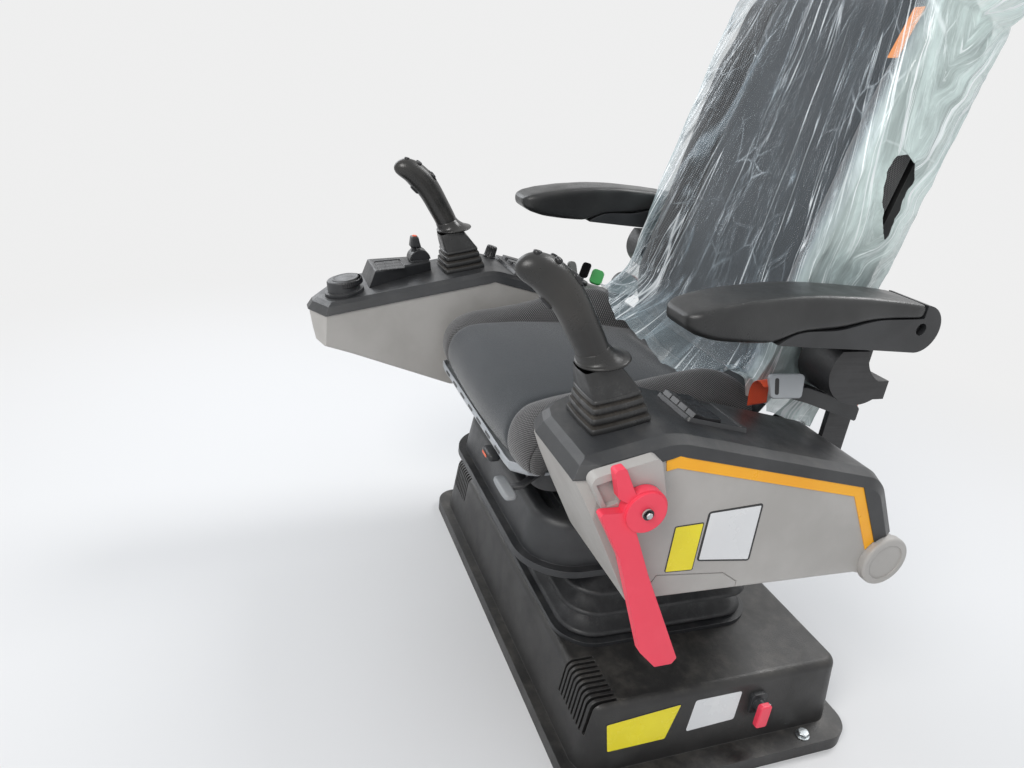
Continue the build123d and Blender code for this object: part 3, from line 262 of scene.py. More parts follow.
def cloth(name, dark, light, across, along, hexed, depth, sheen=.35):
    """Woven or knitted cover whose cells follow the surface, from the piece's own UV in metres."""
    s = Shade(name, .85, Sheen_Weight=sheen, Sheen_Roughness=.4)
    split = s.new("SeparateXYZ", s.uv).outputs
    u = s.times(split[0], 2 * pi / across)
    v = s.times(split[1], 2 * pi / along)
    if hexed:
        loop = s.span(s.times(s.math("SINE", u), s.math("SINE", v)), -.15, .55)
    else:
        rib = s.math("SINE", s.math("SUBTRACT", u, v))
        loop = s.span(s.plus(s.math("SINE", s.plus(u, v)), s.times(rib, .55)), -1.2, 1.3)
    cloud = s.span(s.noise(11, 5, .65), .3, .72)
    fuzz = s.noise(1500, 2)
    worn = s.mix(cloud, tuple(c * .82 for c in light), light)
    tone = s.mix(loop, dark, worn)
    s.bump(loop, depth, .7)
    s.bump(fuzz, .00015, .5)
    s.done(name, s.mix(s.span(fuzz, .5, .8, 0, .35), tone, tuple(min(1.0, c * 1.5) for c in light)))


def film_material():
    """Clear film: nearly clear where taut, milky where loose, with fine creases fanning from its top;
    near-white painted highlights on the creases, and painted sheen in patches and at grazing angles.
    """
    s = Shade("film_clear", .14, Specular_IOR_Level=.8, IOR=1.5)
    uv = s.uv
    loose = s.new("Attribute", attribute_name="loose").outputs["Fac"]
    line_field = s.noise(15, 4, .6, uv, (1, .05, 1), .25)
    line = s.times(s.crossing(line_field, .013), s.span(s.noise(3.2, 3, .6, uv, (2.2, .9, 1)), .34, .52))
    hair_field = s.noise(48, 4, .65, uv, (1, .06, 1), .4)
    hair = s.times(s.crossing(hair_field, .02), s.span(s.noise(6, 4, .6, uv, (1.6, .6, 1)), .38, .6))
    crush = s.cells(17, "DISTANCE_TO_EDGE", s.warped(uv, .05), (1.25, .8, 1))
    facet = s.times(s.span(crush, .035, 0.0), s.span(s.noise(5, 3, .6, uv), .45, .62))
    # Painted sheen: broad patches where the film is a little more opaque
    sheen_patch = s.span(s.noise(4.2, 5, .72, uv, (2.6, .55, 1), 1.6), .53, .7)
    spread = s.span(s.noise(2.6, 4, .6, uv, (2.4, .8, 1), 1.2), .44, .6, .35, 1.0)
    # Painted highlight: the crease lines, hairs and facets are made more opaque and near-white where the folds
    # would glint
    crease_highlight = s.math("MAXIMUM", line, s.math("MAXIMUM", s.times(s.times(hair, .85), spread), s.times(facet, .5)))
    # Painted reflection: the film grows more opaque at grazing angles, where it would reflect
    grazing_sheen = s.span(s.new("LayerWeight", .3).outputs["Facing"], .25, 1.0, 0.0, .5)
    base = s.plus(s.times(sheen_patch, .3), .035)
    hung = s.times(loose, s.span(s.noise(9, 5, .65, uv, (1.5, .6, 1), .8), .3, .72, .46, .86))
    alpha = s.plus(s.plus(base, hung), s.plus(grazing_sheen, s.times(crease_highlight, .55)))
    s.set(Alpha=s.math("MINIMUM", alpha, .93))
    s.bump(line_field, .01, .8)
    s.bump(hair_field, .004, .7)
    s.bump(crush, .005, .45)
    tint = s.mix(loose, (.52, .65, .74), (.74, .88, .85))
    # The near-white colour is the painted highlight on the creases
    s.done("film", s.mix(crease_highlight, tint, (.93, .97, .98)), s.span(hair_field, .3, .7, .07, .24))


moulded("cover_black", (.018, .019, .021), (.034, .0355, .038), (.17, .16, .145), rough=.38)
moulded("base_black", (.016, .0155, .0155), (.032, .031, .03), (.2, .185, .16), rough=.42, grain=620,
    depth=.0004, dust=.5)
moulded("shell_grey", (.385, .37, .35), (.44, .425, .405), (.55, .5, .44), rough=.44, grain=900, depth=.00018,
    dust=.2, wear=.18)
moulded("lever_red", (.88, .05, .095), (.93, .065, .115), (.85, .35, .33), rough=.4, grain=1300, depth=.00012,
    dust=.15, wear=.12)
moulded("stripe_amber", (.94, .4, .004), (.97, .45, .008), (.92, .62, .3), rough=.34, grain=1500, depth=.00005,
    dust=.1, wear=.1, radius=.0005)
moulded("rocker_black", (.008, .008, .009), (.014, .014, .016), (.12, .115, .105), rough=.18, grain=1500,
    depth=.00003, dust=.1, wear=.35)
moulded("grip_black", (.017, .0168, .0165), (.033, .031, .028), (.12, .105, .085), rough=.3, grain=1700,
    depth=.00009, dust=.04, wear=.3)
moulded("armrest_pad", (.017, .0175, .018), (.034, .035, .035), (.14, .14, .13), rough=.34, grain=820,
    depth=.0003, dust=.3)
moulded("back_plastic", (.02, .02, .021), (.034, .034, .035), (.15, .14, .13))
moulded("pale_plastic", (.36, .38, .4), (.43, .45, .47), (.5, .48, .45), rough=.4, grain=1000, depth=.0001,
    dust=.15, wear=.15)
rubber("boot_rubber", (.019, .0192, .0195), (.15, .145, .135), .36)
rubber("boot_groove", (.022, .019, .016), (.17, .145, .115), .8)
rubber("bellows_rubber", (.014, .0145, .016), (.11, .105, .1), .5)
metal("ring_steel", (.46, .46, .47), .32)
metal("rail_steel", (.3, .3, .31), .4)
metal("zinc", (.62, .66, .68), .3)
metal("frame_black", (.028, .028, .03), .45, 0.0, .1)
cloth("seat_fabric", (.012, .014, .017), (.074, .082, .09), .0026, .0032, False, .0004)
cloth("bolster_knit", (.012, .012, .013), (.21, .205, .205), .0043, .0043, True, .0007)
cloth("webbing", (.62, .05, .015), (.86, .11, .035), .003, .004, False, .0004, .1)
film_material()
moulded("tag_orange", (.8, .25, .05), (.86, .31, .08), (.8, .5, .3), rough=.6, grain=2200, depth=.0001,
    dust=.05, wear=.1, radius=.0004)
PLATE = {"grain": 2600, "depth": .00003, "wear": 0.0, "radius": .0004}
moulded("plate_white", (.72, .73, .74), (.79, .8, .8), (.6, .57, .52), rough=.28, dust=.25, **PLATE)
moulded("plate_yellow", (.84, .71, .012), (.9, .78, .02), (.65, .58, .3), rough=.28, dust=.25, **PLATE)
# Black print on the plates' borders; the same black is also painted shade in slots and in the lever hub's
# recess
moulded("plate_black", (.012, .012, .013), (.02, .02, .021), (.12, .11, .1), rough=.3, dust=.1, **PLATE)
moulded("fob_grey", (.25, .26, .27), (.32, .33, .34), (.4, .38, .35), rough=.4)
moulded("fob_dark", (.055, .06, .055), (.09, .095, .09), (.25, .24, .22), rough=.35)
moulded("fob_green", (.02, .28, .05), (.04, .36, .08), (.2, .35, .2), rough=.4)
moulded("button_red", (.8, .09, .02), (.88, .14, .04), (.8, .4, .3), rough=.38)


# ---------------------------------------------------------------- mesh helpers
def piece(name, verts, faces, body, mats, smooth=True, groups=None):
    mesh = bpy.data.meshes.new(name)
    mesh.from_pydata([tuple(v) for v in verts], [], faces)
    mesh.update()
    obj = link(name, mesh)
    for mat in mats if isinstance(mats, (list, tuple)) else [mats]:
        mesh.materials.append(MAT[mat])
    mesh.polygons.foreach_set("use_smooth", [smooth] * len(mesh.polygons))
    if groups:
        mesh.polygons.foreach_set("material_index", groups)
    if body:
        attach(obj, body)
    return obj


def uv_from(obj, coords):
    """UV in metres, one pair for each vertex."""
    layer = obj.data.uv_layers.new(name="uv")
    flat = []
    for loop in obj.data.loops:
        flat.extend(coords[loop.vertex_index])
    layer.data.foreach_set("uv", flat)


def lathe_faces(rows, count, caps=(True, True)):
    """Faces between rings of equal count, and the flat ends."""
    faces = []
    for i in range(rows - 1):
        for k in range(count):
            a, b = i * count + k, i * count + (k + 1) % count
            faces.append((a, b, b + count, a + count))
    if caps[0]:
        faces.append(tuple(reversed(range(count))))
    if caps[1]:
        faces.append(tuple(range((rows - 1) * count, rows * count)))
    return faces


def loft(name, rings, body, mats, caps=(True, True), smooth=True, second=None):
    """Skin over rings of equal count; second says which faces take the second material."""
    faces = lathe_faces(len(rings), len(rings[0]), caps)
    groups = [int(second(f)) for f in faces] if second else None
    return piece(name, [v for ring in rings for v in ring], faces, body, mats, smooth, groups)


def frame_at(origin, normal, across=(1, 0, 0)):
    """Matrix whose z is the normal and whose x is near across."""
    z = Vector(normal).normalized()
    y = z.cross(Vector(across)).normalized()
    m = Matrix((y.cross(z), y, z)).transposed().to_4x4()
    m.translation = Vector(origin)
    return m


def rounded(half_x, half_y, r, n=5):
    points = []
    for cx, cy, start in ((1, 1, 0), (-1, 1, 90), (-1, -1, 180), (1, -1, 270)):
        for k in range(n + 1):
            a = radians(start + 90 * k / n)
            points.append((cx * (half_x - r) + r * cos(a), cy * (half_y - r) + r * sin(a)))
    return points


def bowed(half, r, bow):
    """Rounded square whose sides bow outwards a little, with n steps on a corner and side on a side."""
    n, side = 3, 4
    arcs = rounded(half, half, r, n)
    points = []
    for c in range(4):
        corner = arcs[c * (n + 1):(c + 1) * (n + 1)]
        a, b = corner[-1], arcs[((c + 1) * (n + 1)) % len(arcs)]
        points += corner
        out = ((0, 1), (-1, 0), (0, -1), (1, 0))[c]
        for k in range(1, side + 1):
            f = k / (side + 1)
            push = bow * 4 * f * (1 - f)
            points.append((a[0] + (b[0] - a[0]) * f + out[0] * push, a[1] + (b[1] - a[1]) * f + out[1] * push))
    return points


def circle(place, r, h, count):
    return [place @ Vector((r * cos(2 * pi * k / count), r * sin(2 * pi * k / count), h)) for k in range(count)]


def turned(name, place, profile, body, mats, count=32, dome=0.0):
    """Turned piece: profile is (radius, height) along the place matrix's z, closed at both ends."""
    profile = [(.0001, profile[0][1]), *profile, (.0001, profile[-1][1] + dome)]
    return loft(name, [circle(place, r, h, count) for r, h in profile], body, mats)


def soften(obj, width=.001):
    """Small bevel on the hard edges."""
    mod = obj.modifiers.new("bevel", "BEVEL")
    mod.width = width
    mod.segments = 2
    mod.limit_method = "ANGLE"
    mod.angle_limit = radians(35)
    mod.harden_normals = False
    return obj


def slab(name, place, outline, height, body, mats, width=.001):
    """Plate: outline in the place's x and y, from z 0 to height, with softened edges."""
    rings = [[place @ Vector((x, y, z)) for x, y in outline] for z in (0, height)]
    return soften(loft(name, rings, body, mats, smooth=False), width)


def smooth_curve(points, count):
    """Catmull-Rom curve through the points, at even lengths."""
    pts = [Vector(p) for p in points]
    ext = [2 * pts[0] - pts[1]] + pts + [2 * pts[-1] - pts[-2]]
    dense = []
    for i in range(1, len(ext) - 2):
        p0, p1, p2, p3 = ext[i - 1:i + 3]
        for k in range(24):
            t = k / 24
            low = 2 * p1 + (p2 - p0) * t + (2 * p0 - 5 * p1 + 4 * p2 - p3) * t * t
            dense.append(.5 * (low + (3 * p1 - p0 - 3 * p2 + p3) * t ** 3))
    dense.append(pts[-1])
    lengths = [0.0]
    for a, b in zip(dense, dense[1:]):
        lengths.append(lengths[-1] + (b - a).length)
    result, j = [], 0
    for k in range(count):
        goal = lengths[-1] * k / (count - 1)
        while j < len(lengths) - 2 and lengths[j + 1] < goal:
            j += 1
        f = (goal - lengths[j]) / max(1e-9, lengths[j + 1] - lengths[j])
        result.append(dense[j].lerp(dense[j + 1], min(1, max(0, f))))
    return result


def between(x, table):
    """Smooth value at x of a table of (x, value)."""
    if x <= table[0][0]:
        return table[0][1]
    for (a, va), (b, vb) in zip(table, table[1:]):
        if x <= b:
            t = (x - a) / (b - a)
            t = t * t * (3 - 2 * t)
            return va + (vb - va) * t
    return table[-1][1]


def dip(share):
    """Fall of a quarter circle at a share of the way to its edge."""
    return 1 - math.sqrt(max(0.0, 1 - min(1.0, share) ** 2))


def noisy(x, y, z):
    return noise.noise(Vector((x, y, z)))


def ridge(x, y, z):
    """Noise with sharp crests, for creases."""
    return .5 - abs(noisy(x, y, z))


def wrinkle(p, scale, seed=0.0):
    return noisy(p[0] * scale + seed, p[1] * scale - seed, p[2] * scale + 2 * seed)


def subdivide(obj):
    mod = obj.modifiers.new("subsurf", "SUBSURF")
    mod.levels = mod.render_levels = 1


def puff(obj, pressure, cap, pinned):
    """Cloth under pressure on a copy of the mesh, so that seams and weave stay; each move is capped."""
    copy = link("puff", obj.data.copy())
    group = copy.vertex_groups.new(name="pin")
    for i, v in enumerate(obj.data.vertices):
        group.add([i], pinned(v.co), "REPLACE")
    mod = copy.modifiers.new("cloth", "CLOTH")
    settings = mod.settings
    settings.quality = 6
    settings.mass = .25
    settings.use_pressure = True
    settings.uniform_pressure_force = pressure
    settings.effector_weights.gravity = 0
    settings.vertex_group_mass = "pin"
    settings.tension_stiffness = settings.compression_stiffness = settings.shear_stiffness = 12
    settings.bending_stiffness = .6
    for f in range(1, 21):
        scene.frame_set(f)
    solved = copy.evaluated_get(bpy.context.evaluated_depsgraph_get()).to_mesh()
    for v, w in zip(obj.data.vertices, solved.vertices):
        step = w.co - v.co
        v.co += step * min(1.0, cap / max(1e-9, step.length))
    bpy.data.objects.remove(copy)
    scene.frame_set(1)
    obj.data.update()


# ---------------------------------------------------------------- CAD pieces keep their shape
# Material of each group of nodes; a star stands for left and for right
DRESS = {
    "base_black": "base_cover",
    "cover_black": "isolator_mount suspension_tray suspension_housing switch_bank jog_dial keypad_block "
                   "throttle_knob switch_row belt_buckle belt_retractor *_console_cover *_armrest_housing",
    "lever_red": "isolator_flag lock_lever",
    "rail_steel": "station_rails station_sliders seat_rails seat_sliders",
    "frame_black": "carrier_frame seat_pan *_armrest_post",
    "shell_grey": "lever_bracket *_console_shell *_pivot_cap",
    "stripe_amber": "console_stripe",
    "rocker_black": "switch_rockers",
    "back_plastic": "back_shell",
    "ring_steel": "*_gimbal",
    "grip_black": "*_stick_shaft *_grip",
}
for mat, names in DRESS.items():
    for pattern in names.split():
        for hand in ("left", "right"):
            data = nodes[pattern.replace("*", hand)].data
            data.materials.clear()
            data.materials.append(MAT[mat])

# ---------------------------------------------------------------- suspension bellows
bl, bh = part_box("suspension_bellows")
mid_y = (bl.y + bh.y) / 2
half_x, half_y = bh.x, (bh.y - bl.y) / 2
rings = []
folds, steps = 3, 12
for i in range(folds * steps + 1):
    t = i / steps % 1 if i < folds * steps else 1.0
    z = bl.z + (bh.z - bl.z) * i / (folds * steps)
    if t < .16:
        out = -.019 + .019 * sin(t / .16 * pi / 2)
    else:
        out = -.03 * (1 - (1 - (t - .16) / .84) ** 2.4)
        if t > .92:
            out += .006 * (t - .92) / .08
    if i == 0:
        out = -.006
    ring = []
    for x, y in rounded(half_x + out, half_y + out, .06 + out * .6, 7):
        sag = .0018 * wrinkle((x, y, z), 9, 3.0)
        ring.append((x * (1 + sag), mid_y + y * (1 + sag), z + .4 * sag))
    rings.append(ring)
bellows = loft("bellows", rings, None, "bellows_rubber")
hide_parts("suspension_bellows")
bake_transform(bellows)

# ---------------------------------------------------------------- seat cushion with side bolsters
ROWS = 46
SEAM = .164  # from the middle to the seam between cushion and bolster
centre = smooth_curve([(0, -.337, .476), (0, -.3475, .5), (0, -.3465, .527), (0, -.334, .552), (0, -.305, .568),
    (0, -.215, .575), (0, -.12, .573), (0, -.058, .569), (0, 0.0, .563), (0, .05, .557)], ROWS)
peak = smooth_curve([(0, -.336, .476), (0, -.346, .5), (0, -.345, .53), (0, -.329, .56), (0, -.29, .58),
    (0, -.195, .6), (0, -.095, .626), (0, -.04, .633), (0, .012, .617), (0, .05, .592)], ROWS)
# Each station is x, share of the way from centre line to peak, share on down to the foot, and push outwards
STATIONS = [(0.0, 0, 0, 5.5), (.036, 0, 0, 5.2), (.072, 0, 0, 4.4), (.104, 0, 0, 3.2), (.13, 0, 0, 1.8),
    (.149, 0, 0, .6), (.158, .01, 0, -.4), (.1625, .02, 0, -2.2), (.165, .03, 0, -4.6), (.1675, .06, 0, -2.4),
    (.173, .18, 0, .3), (.183, .5, 0, 1.2), (.195, .86, 0, 1.0), (.208, 1, 0.0, .6), (.221, 1, .03, 0.0),
    (.232, 1, .1, 0), (.2385, 1, .19, 0), (.2415, 1, .27, 0), (.2405, 1, .295, 0), (.238, 1, .31, 0),
    (.2408, 1, .325, 0), (.2435, 1, .36, 0), (.246, 1, .5, 0), (.246, 1, .66, 0), (.243, 1, .82, 0),
    (.236, 1, .95, 0), (.224, 1, 1, 0)]
rings, uvs = [], []
run = 0.0
for i in range(ROWS):
    c, p = centre[i], peak[i]
    if i:
        run += (c - centre[i - 1]).length
    a, b = centre[max(0, i - 1)], centre[min(ROWS - 1, i + 1)]
    normal = Vector((0, -(b - a).z, (b - a).y)).normalized()
    foot = Vector((0, max(c.y, -.3), .476))
    widen = .014 * max(0.0, 1 - i / 16)
    half, span_u = [], []
    for x, up, down, push in STATIONS:
        q = c.lerp(p, up)
        q = q.lerp(foot, down)
        q = q + normal * push * .001
        if .13 < x < .2 and up < .9:
            x = x + widen * (1 - up)
        q.x = x
        soft = .0012 * wrinkle(q, 16) + .0006 * wrinkle(q, 45, 2.0)
        q = q + normal * soft
        half.append(q)
        span_u.append(x + (0 if up < 1 else down * (p - foot).length))
    ring = [Vector((-q.x, q.y, q.z)) for q in reversed(half)] + half[1:]
    rings.append(ring)
    uvs += [(-u, run) for u in reversed(span_u)] + [(u, run) for u in span_u[1:]]
count = len(rings[0])
edge = len(STATIONS) - 1
cushion = loft("seat_upholstery", rings, "seat", ["seat_fabric", "bolster_knit"],
    second=lambda f: len(f) > 4 or abs(f[0] % count - edge + .5) >= 8.2)
uv_from(cushion, uvs)
puff(cushion, 3.0, .004, lambda q: 1.0 if q.z < .482 or abs(abs(q.x) - SEAM) < .006 else .12)
subdivide(cushion)
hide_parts("seat_cushion", "seat_bolster_left", "seat_bolster_right")

# ---------------------------------------------------------------- backrest, in its own leaning frame
lean = radians(13)
FOOT = Vector((0, .069, .584))
UP = Vector((0, sin(lean), cos(lean)))
OUT = Vector((0, -cos(lean), sin(lean)))
HEAD_MID = -.031  # middle of the headrest, along OUT


def back(x, u, w):
    return FOOT + Vector((x, 0, 0)) + UP * u + OUT * w


BACK = [(0.0, .006), (.05, .006), (.1, .005), (.135, .0045), (.154, .004), (.161, .0015), (.164, -.003),
    (.167, .002), (.176, .012), (.19, .027), (.205, .035), (.22, .031), (.232, .02), (.239, .004), (.24, -.012),
    (.24, -.032), (.237, -.048), (.226, -.058), (.19, -.061), (.1, -.061), (0.0, -.061)]
levels = [.001, .005, .014, .03] + [.03 + .55 * k / 22 for k in range(1, 23)] + [.598, .615, .628, .636, .6395]
rings, uvs = [], []
for u in levels:
    fall = max(0.0, (.06 - u) / .06, (u - .58) / .06)
    narrow = .06 * dip(fall)
    thin = max(0.0, (.02 - u) / .02, (u - .62) / .02)
    thin = 1 - .75 * dip(thin)
    wing = between(u, [(.02, .1), (.09, 1), (.48, 1), (.58, .15), (.64, 0.0)])
    lumbar = .01 * math.exp(-((u - .2) / .11) ** 2) - .005 * math.exp(-((u - .42) / .1) ** 2)
    half = []
    for x, w in BACK:
        ww = w if w < .007 else .004 + (w - .004) * wing
        if x < .15 and w > 0:
            ww += lumbar * (1 - (x / .17) ** 2)
        ww = (ww + .028) * thin - .028
        xx = x - narrow * min(1, x / .2)
        q = back(xx, u, ww)
        half.append(q + OUT * .0012 * wrinkle(q, 18))
    ring = [Vector((-q.x, q.y, q.z)) for q in reversed(half[1:-1])]
    ring = half + ring
    rings.append(ring)
    run = [0.0]
    for (xa, wa), (xb, wb) in zip(BACK, BACK[1:]):
        run.append(run[-1] + math.hypot(xb - xa, wb - wa))
    uvs += [(r, u) for r in run] + [(-r, u) for r in reversed(run[1:-1])]
count = len(rings[0])
backrest = loft("back_upholstery", rings, "backrest", ["seat_fabric", "bolster_knit"],
    second=lambda f: len(f) > 4 or 6 <= f[0] % count < count - 6)
uv_from(backrest, uvs)
puff(backrest, 3.0, .004, lambda q: 1.0 if (q - FOOT).dot(OUT) < -.05 or abs(abs(q.x) - SEAM) < .005 else .15)
subdivide(backrest)
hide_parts("back_cushion", "back_bolster_left", "back_bolster_right")

# Fabric strip that closes the gap between cushion and backrest
rings, uvs = [], []
for i in range(41):
    x = -.231 + .462 * i / 40
    low = Vector((x, .045, .543))
    high = back(x, .012 + .045 * max(0.0, (abs(x) - .178) / .053) ** 2, -.016)
    along = high - low
    thick = Vector((0, -along.z, along.y)).normalized() * .0018
    front_side, rear_side = [], []
    for k in range(9):
        f = k / 8
        q = low + along * f + Vector((0, .005, -.006)) * sin(f * pi)
        q += thick * .6 * wrinkle((x, q.y, q.z), 40, 4.0)
        front_side.append(q + thick)
        rear_side.append(q - thick)
    rings.append(front_side + rear_side[::-1])
    uvs += [(x, along.length * k / 8) for k in range(9)] + [(x, along.length * k / 8) for k in range(8, -1, -1)]
strip = loft("gap_cover", rings, None, "seat_fabric")
uv_from(strip, uvs)
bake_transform(strip)

rings, uvs = [], []
for k in range(19):
    f = k / 18
    u = .657 + .168 * f
    edge_in = max(0.0, (.045 - (u - .657)) / .045, (u - .78) / .045)
    narrow = .045 * dip(edge_in)
    thin = 1 - .62 * min(1.0, edge_in) ** 3
    ring = []
    for x, w in rounded(.127 - narrow, .034 * thin, .024 * thin, 4):
        crown = .006 * (1 - (x / .13) ** 2) if w > 0 else 0
        q = back(x, u, w + HEAD_MID + crown)
        ring.append(q)
        uvs.append((x, u + (0 if w > 0 else .3)))
    rings.append(ring)
head = loft("head_cushion", rings, "backrest", "bolster_knit")
uv_from(head, uvs)
puff(head, 3.0, .003, lambda q: 1.0 if abs((q - FOOT).dot(OUT) - HEAD_MID) < .006 else .15)
subdivide(head)
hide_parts("headrest")
for side in (1, -1):
    place = frame_at(back(.07 * side, .636, HEAD_MID), UP)
    turned(f"head_post_{'left' if side > 0 else 'right'}", place, [(.0068, 0), (.0068, .024)], "backrest",
        "zinc")

# ---------------------------------------------------------------- film bag over the backrest
# Tables of height up the back and reach: to the left and right, to the front and rear, and the weave's width
LEFT = [(0.0, .2455), (.21, .2455), (.3, .261), (.45, .258), (.592, .263), (.606, .29), (.622, .313),
    (.642, .296), (.69, .202), (.75, .156), (.83, .134)]
RIGHT = [(0.0, .2475), (.07, .2495), (.11, .258), (.16, .261), (.3, .261), (.48, .254), (.598, .244),
    (.642, .21), (.69, .162), (.75, .142), (.83, .134)]
FRONT = [(0.0, .05), (.07, .041), (.6, .04), (.642, .021), (.69, .014), (.83, .008)]
REAR = [(0.0, -.096), (.598, -.094), (.69, -.082), (.83, -.072)]
WIDTH = [(0.0, .5), (.6, .5), (.69, .36), (.83, .27)]
HALF = .25  # half width of the bag around the back; what goes beyond it is the flare


def seat_top(x, y):
    """Height of the dressed seat cushion under a point."""
    mid = between(y, [(-.12, .578), (-.05, .574), (0.0, .568), (.06, .56)])
    side = between(y, [(-.12, .622), (-.04, .636), (.012, .621), (.05, .596), (.08, .58)])
    return mid + (side - mid) * between(abs(x), [(.15, 0.0), (.2, 1.0), (.234, .95), (.256, .2)])


around, up_rows = 264, 132  # points around the bag, and rows up it
verts, uvs, loosely = [], [], []
for j in range(up_rows + 1):
    v = j / up_rows
    for k in range(around):
        q = k / around
        fold = .485 + .02 * noisy(v * 9, 3.3, 0) + .008 * noisy(v * 31, 6.3, 0)
        turn_x = (fold - .21) * 1.19
        span_x = (q - .21) * 1.19 if q < fold else turn_x - (q - fold) * (turn_x + .25) / (1 - fold)
        ragged = .01 * noisy(q * 9, 1.7, .3) + .005 * noisy(q * 47, 5.1, 0)
        hem = ragged + between(span_x, [(-.2, .02), (-.13, .008), (0.0, 0.0), (.1, -.022), (.34, -.02)])
        u = hem + (.832 - hem) * v
        left, right = between(u, LEFT), between(u, RIGHT)
        front, rear = between(u, FRONT), between(u, REAR)
        fin = max(0.0, left - HALF)
        body = min(left, HALF)
        calm = between(u, [(.21, .35), (.29, 1.0)] if .3 < q < .76 else [(.06, .35), (.16, 1.0)])
        # Around the bag: face, front and rear of the left edge, back, right side
        if q < .42:
            f = q / .42
            x, w = -right + (right + body) * f, front
            w -= .009 * max(0.0, 1 - (x / .17) ** 2) * between(u, [(.05, 0), (.15, 1), (.5, 1), (.6, 0)])
            if f < .05:
                w -= .02 * (1 - f / .05) ** 2
        elif q < .5:
            f = (q - .42) / .08
            x = body + fin * sin(f * pi / 2) + .004 * f * calm
            w = front + (-.03 - front) * (f ** 1.3)
        elif q < .58:
            f = (q - .5) / .08
            x = body + fin * cos(f * pi / 2) + .004 * (1 - f) * calm
            w = -.03 + (rear + .03) * (f ** .8)
        elif q < .94:
            f = (q - .58) / .36
            x, w = body + (-right - body) * f, rear
        else:
            f = (q - .94) / .06
            x, w = -right - .003 * sin(f * pi), rear + (front - .02 - rear) * f
        fan = span_x * .9 * between(u, WIDTH) / .5 / (1.25 - u)
        edge_zone = between(abs(x), [(.175, 0.0), (.235, 1.0)])
        slack = between(u, [(0.0, 1.6), (.1, 1.0), (.3, .55), (.5, .55), (.62, .95), (.7, .8), (.83, .4)])
        slack *= .62 + .55 * edge_zone
        side_of = 0.0 if w > -.03 else 3.0
        big = ridge(fan * 13, u * 1.3 + fan * 1.5, .5 + side_of)
        middle = ridge(fan * 31, u * 3.1 - fan * 2.0, 7.5 + side_of)
        small = noisy(fan * 64, u * 13, w * 30)
        push = slack * (.0095 * (big - .25) + .005 * (middle - .3) + .0016 * small)
        if w > -.03:
            w += max(-.0015, push) if edge_zone > .3 else push
        else:
            w -= max(-.001, push)
        lateral = ridge(w * 26, u * 17 + w * 12, 2.5)
        at_side = between(abs(x), [(.236, 0.0), (.247, 1.0)])
        x += (1 if x > 0 else -1) * at_side * calm * (.0065 * slack * (lateral - .35) + .003 * small)
        point = back(x, u, w)
        if q < .46 or q > .985:
            out_by = between(span_x, [(-.265, .35), (-.235, 1), (.02, 1), (.12, .62), (.19, .3), (.25, .1)])
            near = max(0.0, 1 - (u - hem) / .085)
            curl = .5 + .5 * sin(span_x * 43 + 1.4 * sin(span_x * 19))
            point.y -= out_by * near ** 1.8 * (.043 + .014 * curl)
            point.z += out_by * near * (.006 * sin(span_x * 71) + .01 * near * (curl - .4))
        point.z -= .006 * max(0.0, 1 - (u - hem) / .05) ** 2 * (.5 + .5 * sin(q * 88))
        if point.y < .06 and abs(point.x) < .256:
            rest = seat_top(point.x, point.y) + .0025 + .0009 * j
            crumple = ridge(point.x * 34, point.y * 30, 1.5)
            point.z = max(point.z, rest + .01 * max(0.0, crumple - .15))
        verts.append(point)
        uvs.append((fan, u))
        hem_zone = max(0.0, 1 - (u - hem) / .1)
        far_right = between(-x, [(.205, 0.0), (.243, .55)])
        far_left = between(x, [(.2, 0.0), (.236, .8), (.262, 1.0)])
        loosely.append(min(1.0, max(far_left, far_right, .3 * hem_zone ** 1.2,
            between(u, [(.7, 0), (.8, .35)]))))


def slit_at(u):
    """Middle and half width of the tear in the film's side at a height."""
    return (between(u, [(.283, -.036), (.345, -.018), (.4, -.01)]) + .0015 * sin(u * 130),
        between(u, [(.281, 0.0), (.3, .008), (.34, .018), (.375, .024), (.392, .018),
        (.402, 0.0)]) + .001 * sin(u * 310))


slit, torn = [], set()
for f in lathe_faces(up_rows + 1, around, (False, False)):
    c = sum((verts[i] for i in f), Vector()) / 4
    u = (c - FOOT).dot(UP)
    middle, wide = slit_at(u)
    if c.x > .2 and .284 < u < .401 and abs((c - FOOT).dot(OUT) - middle) < wide:
        torn.update(f)
    else:
        slit.append(f)
for i in torn:
    off = verts[i] - FOOT
    middle, wide = slit_at(off.dot(UP))
    w = off.dot(OUT)
    verts[i] = verts[i] + OUT * (middle + math.copysign(max(0.0, wide), w - middle) - w) + Vector((.0035, 0, 0))
top = len(verts)
for ring_share in (.86, .66, .44, .22, .05):
    for k in range(around):
        edge_point = verts[up_rows * around + k]
        hub = back(0, .837, HEAD_MID)
        rise = .005 * (1 - ring_share) + .004 * ring_share * ridge(k * .17, ring_share, 4)
        verts.append(hub.lerp(edge_point, ring_share) + UP * rise)
        uvs.append((uvs[up_rows * around + k][0], .84 + .1 * (1 - ring_share)))
        loosely.append(.35)
rows = [up_rows * around] + [top + n * around for n in range(5)]
for a, b in zip(rows, rows[1:]):
    for k in range(around):
        slit.append((a + k, a + (k + 1) % around, b + (k + 1) % around, b + k))
slit.append(tuple(range(rows[-1], rows[-1] + around)))
film = piece("film_bag", verts, slit, None, "film")
uv_from(film, uvs)
film.data.attributes.new("loose", "FLOAT", "POINT").data.foreach_set("value", loosely)
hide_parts("back_film")
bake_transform(film)

# Plain tag sewn into the bolster's edge, seen through the film
rings = [[back(.187 + x, .556 + y, .0175 + side_w + .1 * x - .0035 * (y / .036))
    for x, y in rounded(.011, .036, .002, 3)] for side_w in (0.0, .0009)]
loft("back_tag", rings, "backrest", "tag_orange", smooth=False)

